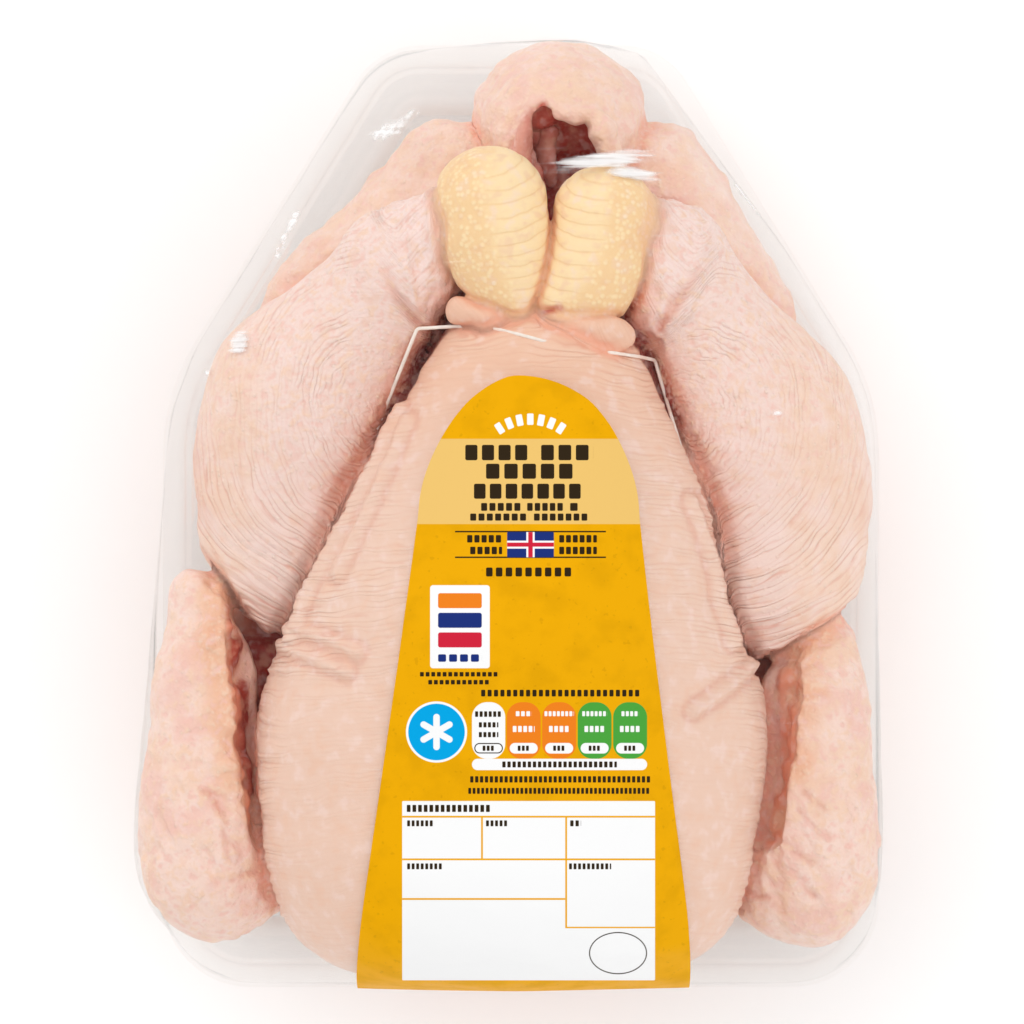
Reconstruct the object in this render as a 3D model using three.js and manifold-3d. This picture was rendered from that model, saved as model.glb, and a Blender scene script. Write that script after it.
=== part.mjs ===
// A whole raw chicken on its back in a clear tray, under a tight clear film with a label on it.
// Millimetres, +Z up, +Y towards the tail; the origin is the middle of the tray's flat base.

import * as THREE from "three";
import { ConvexGeometry } from "three/addons/geometries/ConvexGeometry.js";
import { mergeVertices } from "three/addons/utils/BufferGeometryUtils.js";
import Module from "manifold-3d";

// ---- sizes ------------------------------------------------------------------

const GAP = 0.3; // clear space between neighbouring pieces

// Tray: corners of its outline as [x, y, corner radius, arc steps]
const TRAY_CORNERS = [
  [37.9, 124.8, 20, 5],
  [-37.9, 124.8, 20, 5],
  [-94.9, 32.6, 56, 4],
  [-94.9, -124.8, 23, 6],
  [94.9, -124.8, 23, 6],
  [94.9, 32.6, 56, 4],
];
const RIM_HEIGHT = 42;
const RIM_WIDTH = 5.6;
const LEDGE_DROP = 3.2;
const LEDGE_WIDTH = 1.8;
const WALL_DRAFT = 5.2; // how far the wall leans in from the ledge to the base
const BASE_FILLET = 3.6;
const SHEET = 0.8;

// Film and label
const FILM_STANDOFF = 0.8;
const FILM_SHEET = 0.4;
const FILM_DIRECTIONS = 640;
const LABEL_STANDOFF = 1;
const LABEL_SHEET = 0.3;
const LABEL_TIP_Y = 35.2;
const LABEL_SHOULDER_Y = 6;
const LABEL_SHOULDER_HALF = 28.2;
const LABEL_FOOT_Y = -124;
const LABEL_FOOT_HALF = 43.6;
const LABEL_FOOT_Z = 43.6;
const LABEL_CENTRE = [2.2, 0.6]; // x at the tip and at the foot

// Leg tie
const TIE_RADIUS = 0.65;

// Bird: limbs are lists of stations [x, y, z, radius]
const CELL = 6.4;
const BACK = { centre: [0, -22, 36], radii: [64, 92, 33] };
const RUMP = { centre: [1, 68, 36], radii: [40, 34, 31] };
const NECK = { centre: [-2, -100, 34], radii: [44, 20, 27] };
const TAIL = { centre: [10.4, 101, 42], radii: [24.5, 25, 30] };
const BREAST = [
  [
    [-22, -82, 56, 47], [-22.4, -60, 58, 44], [-14.5, -38, 60, 43],
    [-9.2, -18, 62.5, 40], [-5, 0, 65, 36], [0, 31, 66, 25],
  ],
  [
    [15, -82, 56, 47], [18.3, -60, 58, 43.5], [10.6, -40, 60, 42.5],
    [8.4, -20, 62.5, 39.5], [11, -2, 65, 36], [9, 31, 66, 24],
  ],
];
const KEEL = [[-2, -84, 73, 31], [0, -30, 77, 33], [4, 28, 74, 21], [5, 40, 74, 15]];
const FRONT = -124.5; // y where the film flattens the breast
const LEFT = {
  thigh: [[-58.2, 10, 38, 29.3], [-43.6, 50, 38, 22], [-18.5, 90, 44, 15.4]],
  drum: [[-56.5, -6, 46, 27.6], [-57.4, 10, 48, 27.4], [-54, 30, 55, 26], [-33, 62, 70, 16]],
  cuff: { centre: [-31, 62, 71], radii: [13, 16.5, 15], turn: 24 },
  ankle: [[-33, 66, 70, 13], [-10, 78, 80, 12.5]],
  hock: [[-8.2, 81, 82, 15], [-5.9, 70, 83, 13.2], [-3.4, 61, 85, 8.8], [-0.2, 53, 89, 3.2]],
  wing: [
    [-83.5, -22, 50, 10], [-83, -46, 53, 12], [-82.8, -68, 54.5, 14.2], [-82.3, -86, 54, 15.8],
    [-82.5, -95, 53, 16],
  ],
  arm: [[-77, -96, 48, 14], [-54, -84, 40, 16]],
  ridge: [
    [-79.6, -15.5, 57, 3.2], [-78, -34, 62.5, 3.8], [-76, -54, 65, 3.8], [-75, -66, 65.5, 3.8],
    [-73.6, -78, 64, 4],
  ],
  pit: [[-66.4, -14, 64, 10.5], [-65.6, -38, 65, 10], [-65, -60, 66, 8.8], [-64, -80, 66, 6.4]],
  web: { centre: [-70, -52, 30], radii: [18, 42, 16] },
};
const RIGHT = {
  thigh: [[62.6, 4, 38, 28.6], [45.6, 50, 38, 23], [35.6, 76, 41, 18], [33.4, 91, 43, 14]],
  drum: [[61.6, -10.5, 46, 27.2], [62.6, 6, 48, 27.4], [60.4, 24, 55, 25.6], [40, 62, 70, 16]],
  cuff: { centre: [37, 63, 71], radii: [14, 19, 15], turn: -12 },
  ankle: [[38, 66, 70, 13], [25, 75, 79, 13]],
  hock: [[22, 76.6, 81, 14.7], [19.4, 66.5, 82, 12.2], [15.8, 59, 84, 10], [9.5, 53.4, 87, 6.6]],
  wing: [
    [77.6, -32, 50, 11.6], [76.4, -49, 53, 12.4], [76, -64, 54, 14], [76, -84, 54, 15.4],
    [77.5, -96, 53, 15.6],
  ],
  arm: [[73, -99, 48, 14], [54, -86, 40, 16]],
  ridge: [[76.5, -33, 58, 3.6], [74, -48, 64, 3.8], [73, -66, 65, 3.8], [70.6, -82, 62, 4]],
  pit: [[63, -26, 65, 10], [62.2, -45, 66, 9.4], [62, -60, 66, 8.8], [61.8, -80, 66, 6.6]],
  web: { centre: [68, -56, 30], radii: [18, 42, 16] },
};
const ROLL_LEFT = [[-15.4, 54, 86, 4.4], [-8, 52, 90, 4.8], [-1, 49.4, 90, 4.2]];
const ROLL_RIGHT = { centre: [14.8, 48, 89], radii: [14.4, 7.2, 7.4], turn: -9 };
const CAVITY = [[8.8, 98, 80, 9], [9.4, 96, 66, 11.5], [9, 84, 62, 12], [5, 70, 60, 9]];

// ---- distance fields ---------------------------------------------------------

function blend(a, b, k) {
  const h = Math.max(k - Math.abs(a - b), 0) / k;
  return Math.min(a, b) - h * h * k * 0.25;
}

function cut(a, b, k) {
  return -blend(-a, b, k);
}

// Two lobes laid together, with a furrow pressed in where they meet.
function furrow(a, b, depth, width) {
  return Math.min(a, b) + depth * Math.exp(-(a * a + b * b) / (width * width));
}

function ellipsoid(p, { centre, radii, turn = 0 }) {
  const c = Math.cos(THREE.MathUtils.degToRad(turn));
  const s = Math.sin(THREE.MathUtils.degToRad(turn));
  const dx = p[0] - centre[0];
  const dy = p[1] - centre[1];
  const x = (dx * c + dy * s) / radii[0];
  const y = (dy * c - dx * s) / radii[1];
  const z = (p[2] - centre[2]) / radii[2];
  const k0 = Math.hypot(x, y, z);
  const k1 = Math.hypot(x / radii[0], y / radii[1], z / radii[2]);
  return (k0 * (k0 - 1)) / Math.max(k1, 1e-6);
}

function bone(p, a, b) {
  const ab = [b[0] - a[0], b[1] - a[1], b[2] - a[2]];
  const ap = [p[0] - a[0], p[1] - a[1], p[2] - a[2]];
  const along = (ap[0] * ab[0] + ap[1] * ab[1] + ap[2] * ab[2]) / (ab[0] ** 2 + ab[1] ** 2 + ab[2] ** 2);
  const t = THREE.MathUtils.clamp(along, 0, 1);
  const away = Math.hypot(ap[0] - t * ab[0], ap[1] - t * ab[1], ap[2] - t * ab[2]);
  return away - THREE.MathUtils.lerp(a[3], b[3], t);
}

function limb(p, stations, k) {
  let d = bone(p, stations[0], stations[1]);
  for (let i = 2; i < stations.length; i++) {
    d = blend(d, bone(p, stations[i - 1], stations[i]), k);
  }
  return d;
}

// Distance outside the space that the tray leaves: inside its wall, or anywhere above its rim.
function traySpace(p) {
  const lean = RIM_WIDTH + LEDGE_WIDTH + (WALL_DRAFT + 1) * (1 - p[2] / RIM_HEIGHT);
  let d = -1e3;
  TRAY_CORNERS.forEach(([x, y], i) => {
    const [nx, ny, radius] = TRAY_CORNERS[(i + 1) % TRAY_CORNERS.length];
    const length = Math.hypot(nx - x, ny - y);
    const edge = ((ny - y) * (p[0] - x) - (nx - x) * (p[1] - y)) / length + lean;
    d = -blend(-d, -edge, radius > 50 ? 8 : radius);
  });
  d = Math.max(d, 1.8 - p[2]);
  return Math.min(d + 1.2, RIM_HEIGHT + 2 * GAP - p[2]);
}

function breastField(p) {
  const lobes = blend(limb(p, BREAST[0], 14), limb(p, BREAST[1], 14), 26);
  return cut(blend(lobes, limb(p, KEEL, 10), 18), p[1] - FRONT, 16);
}

function wingField(p, side) {
  const arm = blend(limb(p, side.wing, 12), limb(p, side.arm, 1), 8);
  return blend(arm, limb(p, side.ridge, 5), 5);
}

function legField(p, side) {
  const drum = blend(limb(p, side.drum, 12), ellipsoid(p, side.cuff), 8);
  return blend(drum, limb(p, side.ankle, 1), 4);
}

function birdField(p) {
  const trunk = blend(ellipsoid(p, BACK), ellipsoid(p, RUMP), 24);
  let d = blend(trunk, ellipsoid(p, NECK), 14);
  for (const side of [LEFT, RIGHT]) {
    d = blend(d, limb(p, side.thigh, 18), 12);
    d = blend(d, ellipsoid(p, side.web), 8);
  }
  d = furrow(d, ellipsoid(p, TAIL), 2, 5);
  for (const side of [LEFT, RIGHT]) {
    d = Math.min(d, wingField(p, side));
    d = cut(d, limb(p, side.pit, 2), 4);
  }
  d = furrow(d, breastField(p), 1.6, 4);
  for (const side of [LEFT, RIGHT]) {
    d = furrow(d, legField(p, side), 2.5, 5);
  }
  for (const side of [LEFT, RIGHT]) {
    d = furrow(d, limb(p, side.hock, 8), 1.2, 2.5);
  }
  d = furrow(d, limb(p, ROLL_LEFT, 2), 0.8, 2);
  d = furrow(d, ellipsoid(p, ROLL_RIGHT), 0.8, 2);
  d = cut(d, limb(p, CAVITY, 8), 3);
  return cut(d, -traySpace(p), 2.5);
}

// ---- a mesh from a field -------------------------------------------------------

// One vertex for each cell that the surface crosses, and one quad for each crossed grid edge.
function surfaceNet(field, low, high, cell) {
  const n = low.map((v, k) => Math.ceil((high[k] - v) / cell) + 1);
  const at = (i, j, k) => (i * n[1] + j) * n[2] + k;
  const value = new Float64Array(n[0] * n[1] * n[2]);
  for (let i = 0; i < n[0]; i++) {
    for (let j = 0; j < n[1]; j++) {
      for (let k = 0; k < n[2]; k++) {
        value[at(i, j, k)] = field([low[0] + i * cell, low[1] + j * cell, low[2] + k * cell]);
      }
    }
  }
  while (fillPinches(value, at, n)) continue;
  const points = [];
  const index = new Int32Array(value.length).fill(-1);
  for (let i = 0; i + 1 < n[0]; i++) {
    for (let j = 0; j + 1 < n[1]; j++) {
      for (let k = 0; k + 1 < n[2]; k++) {
        const point = cellPoint(value, at, [i, j, k]);
        if (!point) continue;
        index[at(i, j, k)] = points.length;
        points.push(point.map((v, axis) => low[axis] + v * cell));
      }
    }
  }
  return { points, triangles: netTriangles(value, index, at, n) };
}

// Fills grid corners round which the surface would touch itself at an edge or a point.
// True if any was filled.
function fillPinches(value, at, n) {
  let filled = false;
  const fill = (outside) => {
    value[outside.reduce((a, b) => (value[a] < value[b] ? a : b))] = -0.01;
    filled = true;
  };
  for (let i = 0; i + 1 < n[0]; i++) {
    for (let j = 0; j + 1 < n[1]; j++) {
      for (let k = 0; k + 1 < n[2]; k++) {
        for (let axis = 0; axis < 3; axis++) {
          const [u, v] = [(axis + 1) % 3, (axis + 2) % 3];
          const side = [0, 1, 2, 3].map((c) => {
            const q = [i, j, k];
            q[u] += c & 1;
            q[v] += c >> 1;
            return at(...q);
          });
          const [a, b, c, d] = side.map((q) => value[q] < 0);
          if (a === d && b === c && a !== b) fill(side.filter((q) => value[q] >= 0));
        }
        const cube = [0, 1, 2, 3, 4, 5, 6, 7].map((c) => at(i + (c & 1), j + ((c >> 1) & 1), k + (c >> 2)));
        const outside = [0, 1, 2, 3, 4, 5, 6, 7].filter((c) => value[cube[c]] >= 0);
        const inside = [0, 1, 2, 3, 4, 5, 6, 7].filter((c) => value[cube[c]] < 0);
        const pinched = [outside, inside].some((c) => c.length === 2 && c[0] + c[1] === 7);
        if (pinched) fill(outside.map((c) => cube[c]));
      }
    }
  }
  return filled;
}

function cellPoint(value, at, cell) {
  const sum = [0, 0, 0];
  let count = 0;
  for (let axis = 0; axis < 3; axis++) {
    for (let corner = 0; corner < 4; corner++) {
      const a = [...cell];
      a[(axis + 1) % 3] += corner & 1;
      a[(axis + 2) % 3] += corner >> 1;
      const b = [...a];
      b[axis] += 1;
      const va = value[at(...a)];
      const vb = value[at(...b)];
      if (va < 0 === vb < 0) continue;
      a[axis] += va / (va - vb);
      sum.forEach((v, k) => (sum[k] = v + a[k]));
      count += 1;
    }
  }
  return count ? sum.map((v) => v / count) : null;
}

function netTriangles(value, index, at, n) {
  const triangles = [];
  for (let i = 1; i + 1 < n[0]; i++) {
    for (let j = 1; j + 1 < n[1]; j++) {
      for (let k = 1; k + 1 < n[2]; k++) {
        for (let axis = 0; axis < 3; axis++) {
          const here = value[at(i, j, k)] < 0;
          const step = [i, j, k];
          step[axis] += 1;
          if (here === value[at(...step)] < 0) continue;
          const corner = (du, dv) => {
            const c = [i, j, k];
            c[(axis + 1) % 3] += du;
            c[(axis + 2) % 3] += dv;
            return index[at(...c)];
          };
          const quad = [corner(-1, -1), corner(0, -1), corner(0, 0), corner(-1, 0)];
          if (!here) quad.reverse();
          triangles.push([quad[0], quad[1], quad[2]], [quad[0], quad[2], quad[3]]);
        }
      }
    }
  }
  return triangles;
}

function slope(field, p) {
  const e = 0.05;
  return [0, 1, 2].map((k) => {
    const a = [...p];
    const b = [...p];
    a[k] += e;
    b[k] -= e;
    return (field(a) - field(b)) / (2 * e);
  });
}

function settle(field, points, reach) {
  return points.map((start) => {
    let p = start;
    for (let round = 0; round < 3; round++) {
      const g = slope(field, p);
      const size = Math.max(g[0] ** 2 + g[1] ** 2 + g[2] ** 2, 0.2);
      const move = THREE.MathUtils.clamp(field(p) / size, -reach, reach);
      p = p.map((v, k) => v - move * g[k]);
    }
    return p;
  });
}

function meshGeometry(points, triangles) {
  const geometry = new THREE.BufferGeometry();
  geometry.setAttribute("position", new THREE.Float32BufferAttribute(points.flat(), 3));
  geometry.setIndex(triangles.flat());
  return geometry;
}

// ---- joining and cutting -------------------------------------------------------

const wasm = await Module();
wasm.setup();

function toSolid(source) {
  const geometry = source.clone();
  geometry.deleteAttribute("normal");
  geometry.deleteAttribute("uv");
  const merged = mergeVertices(geometry, 1e-4);
  const mesh = new wasm.Mesh({
    numProp: 3,
    vertProperties: new Float32Array(merged.attributes.position.array),
    triVerts: new Uint32Array(merged.index.array),
  });
  return new wasm.Manifold(mesh);
}

function fromSolid(solid) {
  const mesh = solid.getMesh();
  const geometry = new THREE.BufferGeometry();
  geometry.setAttribute("position", new THREE.BufferAttribute(mesh.vertProperties, 3));
  geometry.setIndex(new THREE.BufferAttribute(mesh.triVerts, 1));
  return geometry;
}

// The one outer body, without the small pockets that deep furrows leave inside it.
function wholeBody(solid) {
  return solid.decompose().reduce((a, b) => (a.volume() > b.volume() ? a : b));
}

// ---- pieces ----------------------------------------------------------------------

function birdGeometry() {
  const net = surfaceNet(birdField, [-112, -132, -4], [112, 136, 124], CELL);
  return meshGeometry(settle(birdField, net.points, CELL * 0.3), net.triangles);
}

// Height of the bird's surface under a point, found by stepping down from above.
function heightAt(x, y) {
  let z = 130;
  for (let step = 0; step < 200 && z > 5; step++) {
    const d = birdField([x, y, z]);
    if (d < 0.02) break;
    z -= Math.max(d * 0.7, 0.02);
  }
  return z;
}

// The tie runs up out of the left groove, across the skin rolls and down into the right groove.
const TIE_ROUTE = [
  [-38.6, 20.2, -1.5],
  [-34, 32, 0.2],
  [-27.4, 48.6, 0.4],
  [-26.2, 50.2, 0.4],
  [-16, 50.4, 0.6],
  [-7.4, 49.6, 0.4],
  [4.6, 46, 0.4],
  [16.2, 42.4, 0.4],
  [22.6, 42.2, 0.4],
  [34.4, 40.6, 0.4],
  [35.4, 38.8, 0.4],
  [37, 33, 0.2],
  [41.5, 17.2, -1.5],
];

function tiePath() {
  const points = TIE_ROUTE.map(([x, y, lift]) => new THREE.Vector3(x, y, heightAt(x, y) + lift));
  return new THREE.CatmullRomCurve3(points, false, "centripetal");
}

function tubeGeometry(path, radius, sides, steps) {
  const ring = new THREE.Shape();
  ring.absarc(0, 0, radius, 0, Math.PI * 2, false);
  return new THREE.ExtrudeGeometry(ring, {
    extrudePath: path,
    steps,
    curveSegments: sides,
    bevelEnabled: false,
  });
}

// The tray's outline drawn in by an inset, as a ring of points at one height.
function trayRing(inset, z) {
  const count = TRAY_CORNERS.length;
  const ring = [];
  TRAY_CORNERS.forEach(([x, y, radius, steps], i) => {
    const before = TRAY_CORNERS[(i + count - 1) % count];
    const after = TRAY_CORNERS[(i + 1) % count];
    const a = new THREE.Vector2(before[0] - x, before[1] - y).normalize();
    const b = new THREE.Vector2(after[0] - x, after[1] - y).normalize();
    const half = Math.acos(a.dot(b)) / 2;
    const inward = a.clone().add(b).normalize();
    const round = Math.max(radius - inset, 3);
    const away = (inset + round) / Math.sin(half);
    const centre = inward.clone().multiplyScalar(away).add(new THREE.Vector2(x, y));
    const outward = Math.atan2(-inward.y, -inward.x);
    const sweep = Math.PI / 2 - half;
    for (let s = 0; s <= steps; s++) {
      const angle = outward - sweep + (2 * sweep * s) / steps;
      ring.push([centre.x + round * Math.cos(angle), centre.y + round * Math.sin(angle), z]);
    }
  });
  return ring;
}

// A closed skin through a stack of rings, capped at both ends.
function loft(rings) {
  const n = rings[0].length;
  const points = rings.flat();
  const triangles = [];
  for (let r = 0; r + 1 < rings.length; r++) {
    for (let i = 0; i < n; i++) {
      const a = r * n + i;
      const b = r * n + ((i + 1) % n);
      triangles.push([a, b, b + n], [a, b + n, a + n]);
    }
  }
  const last = (rings.length - 1) * n;
  for (let i = 1; i + 1 < n; i++) {
    triangles.push([0, i + 1, i], [last, last + i, last + i + 1]);
  }
  return meshGeometry(points, triangles);
}

function trayGeometry() {
  const ledge = RIM_HEIGHT - LEDGE_DROP;
  const inner = RIM_WIDTH + LEDGE_WIDTH;
  const foot = inner + WALL_DRAFT;
  const profile = [
    [foot + BASE_FILLET, 0],
    [foot + 0.4 - SHEET, 1.2],
    [foot - SHEET, 4.6],
    [inner - SHEET, ledge - SHEET],
    [RIM_WIDTH - SHEET * 0.4, ledge + 0.2 - SHEET],
    [RIM_WIDTH - SHEET, RIM_HEIGHT - SHEET],
    [0, RIM_HEIGHT - SHEET],
    [0, RIM_HEIGHT],
    [RIM_WIDTH, RIM_HEIGHT],
    [RIM_WIDTH + 0.5, ledge + 0.2],
    [inner, ledge],
    [foot, 4.6],
    [foot + 0.6, 2],
    [foot + BASE_FILLET, SHEET],
  ];
  return loft(profile.map(([inset, z]) => trayRing(inset, z)));
}

// Directions spread evenly over the sphere, down to a little below the horizon.
function directions(count) {
  const golden = Math.PI * (3 - Math.sqrt(5));
  return Array.from({ length: count }, (_, i) => {
    const z = 1 - (1.35 * (i + 0.5)) / count;
    const flat = Math.sqrt(Math.max(1 - z * z, 0));
    return new THREE.Vector3(flat * Math.cos(golden * i), flat * Math.sin(golden * i), z);
  });
}

// The tight skin round everything that stands above the rim, held off by a distance.
function wrapGeometry(contents, standoff, inset) {
  const points = [];
  const spot = new THREE.Vector3();
  for (const direction of directions(FILM_DIRECTIONS)) {
    let best = -Infinity;
    const furthest = new THREE.Vector3();
    for (const position of contents) {
      for (let i = 0; i < position.count; i++) {
        spot.fromBufferAttribute(position, i);
        if (spot.z > RIM_HEIGHT && spot.dot(direction) > best) {
          best = spot.dot(direction);
          furthest.copy(spot);
        }
      }
    }
    points.push(furthest.addScaledVector(direction, standoff));
  }
  for (const z of [RIM_HEIGHT + GAP, RIM_HEIGHT - 2]) {
    trayRing(inset, z).forEach((p) => points.push(new THREE.Vector3(...p)));
  }
  return new ConvexGeometry(points);
}

function filmGeometry(contents) {
  const outer = toSolid(wrapGeometry(contents, FILM_STANDOFF + FILM_SHEET, 1));
  const inner = toSolid(wrapGeometry(contents, FILM_STANDOFF, 1 + FILM_SHEET));
  const below = new THREE.BoxGeometry(400, 400, 100).translate(0, 0, RIM_HEIGHT + GAP - 50);
  return fromSolid(outer.subtract(inner).subtract(toSolid(below)));
}

// The flat faces of a convex skin as [normal, offset].
function facePlanes(geometry) {
  const position = geometry.attributes.position;
  const planes = [];
  for (let i = 0; i < position.count; i += 3) {
    const [a, b, c] = [0, 1, 2].map((k) => new THREE.Vector3().fromBufferAttribute(position, i + k));
    const plane = new THREE.Plane().setFromCoplanarPoints(a, b, c);
    planes.push([plane.normal, -plane.constant]);
  }
  return planes;
}

// Where a ray from inside leaves the skin, with the skin moved out by a distance.
function leave(planes, from, direction, out) {
  let reach = Infinity;
  for (const [normal, offset] of planes) {
    const facing = normal.dot(direction);
    if (facing > 1e-4) reach = Math.min(reach, (offset + out - normal.dot(from)) / facing);
  }
  return from.clone().addScaledVector(direction, reach);
}

function labelHalfWidth(y) {
  if (y > LABEL_SHOULDER_Y) {
    const up = (y - LABEL_SHOULDER_Y) / (LABEL_TIP_Y - LABEL_SHOULDER_Y);
    return LABEL_SHOULDER_HALF * Math.sqrt(Math.max(1 - up * up, 0.02));
  }
  const down = (LABEL_SHOULDER_Y - y) / (LABEL_SHOULDER_Y - LABEL_FOOT_Y);
  return THREE.MathUtils.lerp(LABEL_SHOULDER_HALF, LABEL_FOOT_HALF, Math.min(down, 1));
}

// Angles of the label's rows, seen from a point inside the bird: an arched tip, a long fall, a steep foot.
function labelAngles(planes, pivot) {
  const angleOf = (y) => {
    const top = leave(planes, new THREE.Vector3(LABEL_CENTRE[0], y, pivot.z), new THREE.Vector3(0, 0, 1), 0);
    return Math.atan2(top.z - pivot.z, y - pivot.y);
  };
  const angles = [];
  for (let step = 0; step < 7; step++) {
    const arch = THREE.MathUtils.degToRad(9 + 11.5 * step);
    angles.push(angleOf(LABEL_SHOULDER_Y + (LABEL_TIP_Y - LABEL_SHOULDER_Y) * Math.cos(arch)));
  }
  for (let y = -6; y > -100; y -= 8) {
    angles.push(angleOf(y));
  }
  const last = angles[angles.length - 1];
  const foot = Math.PI - Math.atan2(LABEL_FOOT_Z - pivot.z, pivot.y - LABEL_FOOT_Y);
  for (let step = 1; step <= 8; step++) {
    angles.push(THREE.MathUtils.lerp(last, foot, step / 8));
  }
  return angles;
}

function labelGeometry(contents) {
  const planes = facePlanes(wrapGeometry(contents, FILM_STANDOFF + FILM_SHEET, 1));
  const pivot = new THREE.Vector3(0, -60, RIM_HEIGHT);
  const columns = 8;
  const angles = labelAngles(planes, pivot);
  const points = [];
  for (const out of [LABEL_STANDOFF, LABEL_STANDOFF + LABEL_SHEET]) {
    for (const angle of angles) {
      const direction = new THREE.Vector3(0, Math.cos(angle), Math.sin(angle));
      const middle = leave(planes, pivot.clone().setX(LABEL_CENTRE[0]), direction, 0);
      const run = (LABEL_TIP_Y - middle.y) / (LABEL_TIP_Y - LABEL_FOOT_Y);
      const centre = THREE.MathUtils.lerp(...LABEL_CENTRE, run);
      const half = labelHalfWidth(middle.y);
      for (let c = 0; c <= columns; c++) {
        const from = pivot.clone().setX(centre + half * ((2 * c) / columns - 1));
        points.push(leave(planes, from, direction, out).toArray());
      }
    }
  }
  return meshGeometry(points, sheetTriangles(angles.length, columns + 1));
}

// Both faces of a sheet of rows and columns, the lower first, and the strip round its edge.
function sheetTriangles(rows, columns) {
  const top = rows * columns;
  const triangles = [];
  for (let r = 0; r + 1 < rows; r++) {
    for (let c = 0; c + 1 < columns; c++) {
      const a = r * columns + c;
      const [b, d, e] = [a + 1, a + columns, a + columns + 1];
      triangles.push([a, b, e], [a, e, d]);
      triangles.push([top + a, top + e, top + b], [top + a, top + d, top + e]);
    }
  }
  const rim = [];
  for (let c = 0; c < columns; c++) rim.push(c);
  for (let r = 1; r < rows; r++) rim.push(r * columns + columns - 1);
  for (let c = columns - 2; c >= 0; c--) rim.push((rows - 1) * columns + c);
  for (let r = rows - 2; r > 0; r--) rim.push(r * columns);
  rim.forEach((a, i) => {
    const b = rim[(i + 1) % rim.length];
    triangles.push([a, top + b, b], [a, top + a, top + b]);
  });
  return triangles;
}

// ---- the pack ----------------------------------------------------------------------

function piece(name, geometry, color, roughness, opacity = 1) {
  geometry.computeVertexNormals();
  const material = new THREE.MeshStandardMaterial({
    color,
    roughness,
    metalness: 0,
    opacity,
    transparent: opacity < 1,
  });
  const mesh = new THREE.Mesh(geometry, material);
  mesh.name = name;
  return mesh;
}

const path = tiePath();
const tie = tubeGeometry(path, TIE_RADIUS, 3, 44);
const groove = toSolid(tubeGeometry(path, TIE_RADIUS + GAP + 0.2, 3, 44));
const bird = fromSolid(wholeBody(toSolid(birdGeometry()).subtract(groove)));
const contents = [bird.attributes.position, tie.attributes.position];

const pack = new THREE.Group();
pack.name = "whole_chicken_pack";
pack.add(piece("chicken", bird, 0xf3d0bd, 0.45));
pack.add(piece("leg_tie", tie, 0xf4f0ea, 0.5));
pack.add(piece("tray", trayGeometry(), 0xf2f0ee, 0.12, 0.3));
pack.add(piece("film", filmGeometry(contents), 0xffffff, 0.08, 0.15));
pack.add(piece("label", labelGeometry(contents), 0xefad0a, 0.5));

export default pack;
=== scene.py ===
"""A whole raw chicken on its back in a clear tray, under tight clear film with a plain label."""

import itertools
import math

import bmesh
import bpy
import numpy as np
from bpy.props import FloatProperty, FloatVectorProperty, PointerProperty
from bpy.types import Operator, Panel, PropertyGroup
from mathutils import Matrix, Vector


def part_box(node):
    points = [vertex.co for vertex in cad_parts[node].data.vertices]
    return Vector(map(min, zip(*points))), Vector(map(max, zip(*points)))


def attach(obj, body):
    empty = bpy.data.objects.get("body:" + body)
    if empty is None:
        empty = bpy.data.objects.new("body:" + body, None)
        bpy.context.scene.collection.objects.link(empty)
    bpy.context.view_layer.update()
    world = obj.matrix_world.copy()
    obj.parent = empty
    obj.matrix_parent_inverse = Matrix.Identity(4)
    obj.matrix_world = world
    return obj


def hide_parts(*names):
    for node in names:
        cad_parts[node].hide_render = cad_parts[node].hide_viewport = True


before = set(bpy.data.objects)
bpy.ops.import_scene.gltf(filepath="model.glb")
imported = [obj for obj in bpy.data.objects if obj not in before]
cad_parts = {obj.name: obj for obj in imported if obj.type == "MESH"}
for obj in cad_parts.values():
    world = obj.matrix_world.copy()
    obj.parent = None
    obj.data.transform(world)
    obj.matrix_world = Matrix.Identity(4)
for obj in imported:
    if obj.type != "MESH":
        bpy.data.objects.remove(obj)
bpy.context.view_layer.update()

bl_info = {
    "name": "Whole Chicken Tray Pack",
    "version": (1, 0, 0),
    "blender": (4, 5, 0),
    "location": "3D View > Sidebar > Chicken Pack",
    "description": "Builds a whole raw chicken in a clear tray, under clear film with a plain label",
    "category": "Add Mesh",
}

# Lengths below are in millimetres, in the pack's own frame: the origin is the middle of the
# tray's base, +Y points to the tail and +Z up through the breast.
MM = 0.001
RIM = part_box("tray")[1][2] / MM
GAP = 0.3  # between the rim and the film
EYE_DISTANCE = 1800  # from the rim's height up to the camera
EYE_SHIFT = (-2.4, 1.1)

# ---- the bird's measurements: limbs are stations of x, y, z and radius ----------------------

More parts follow.
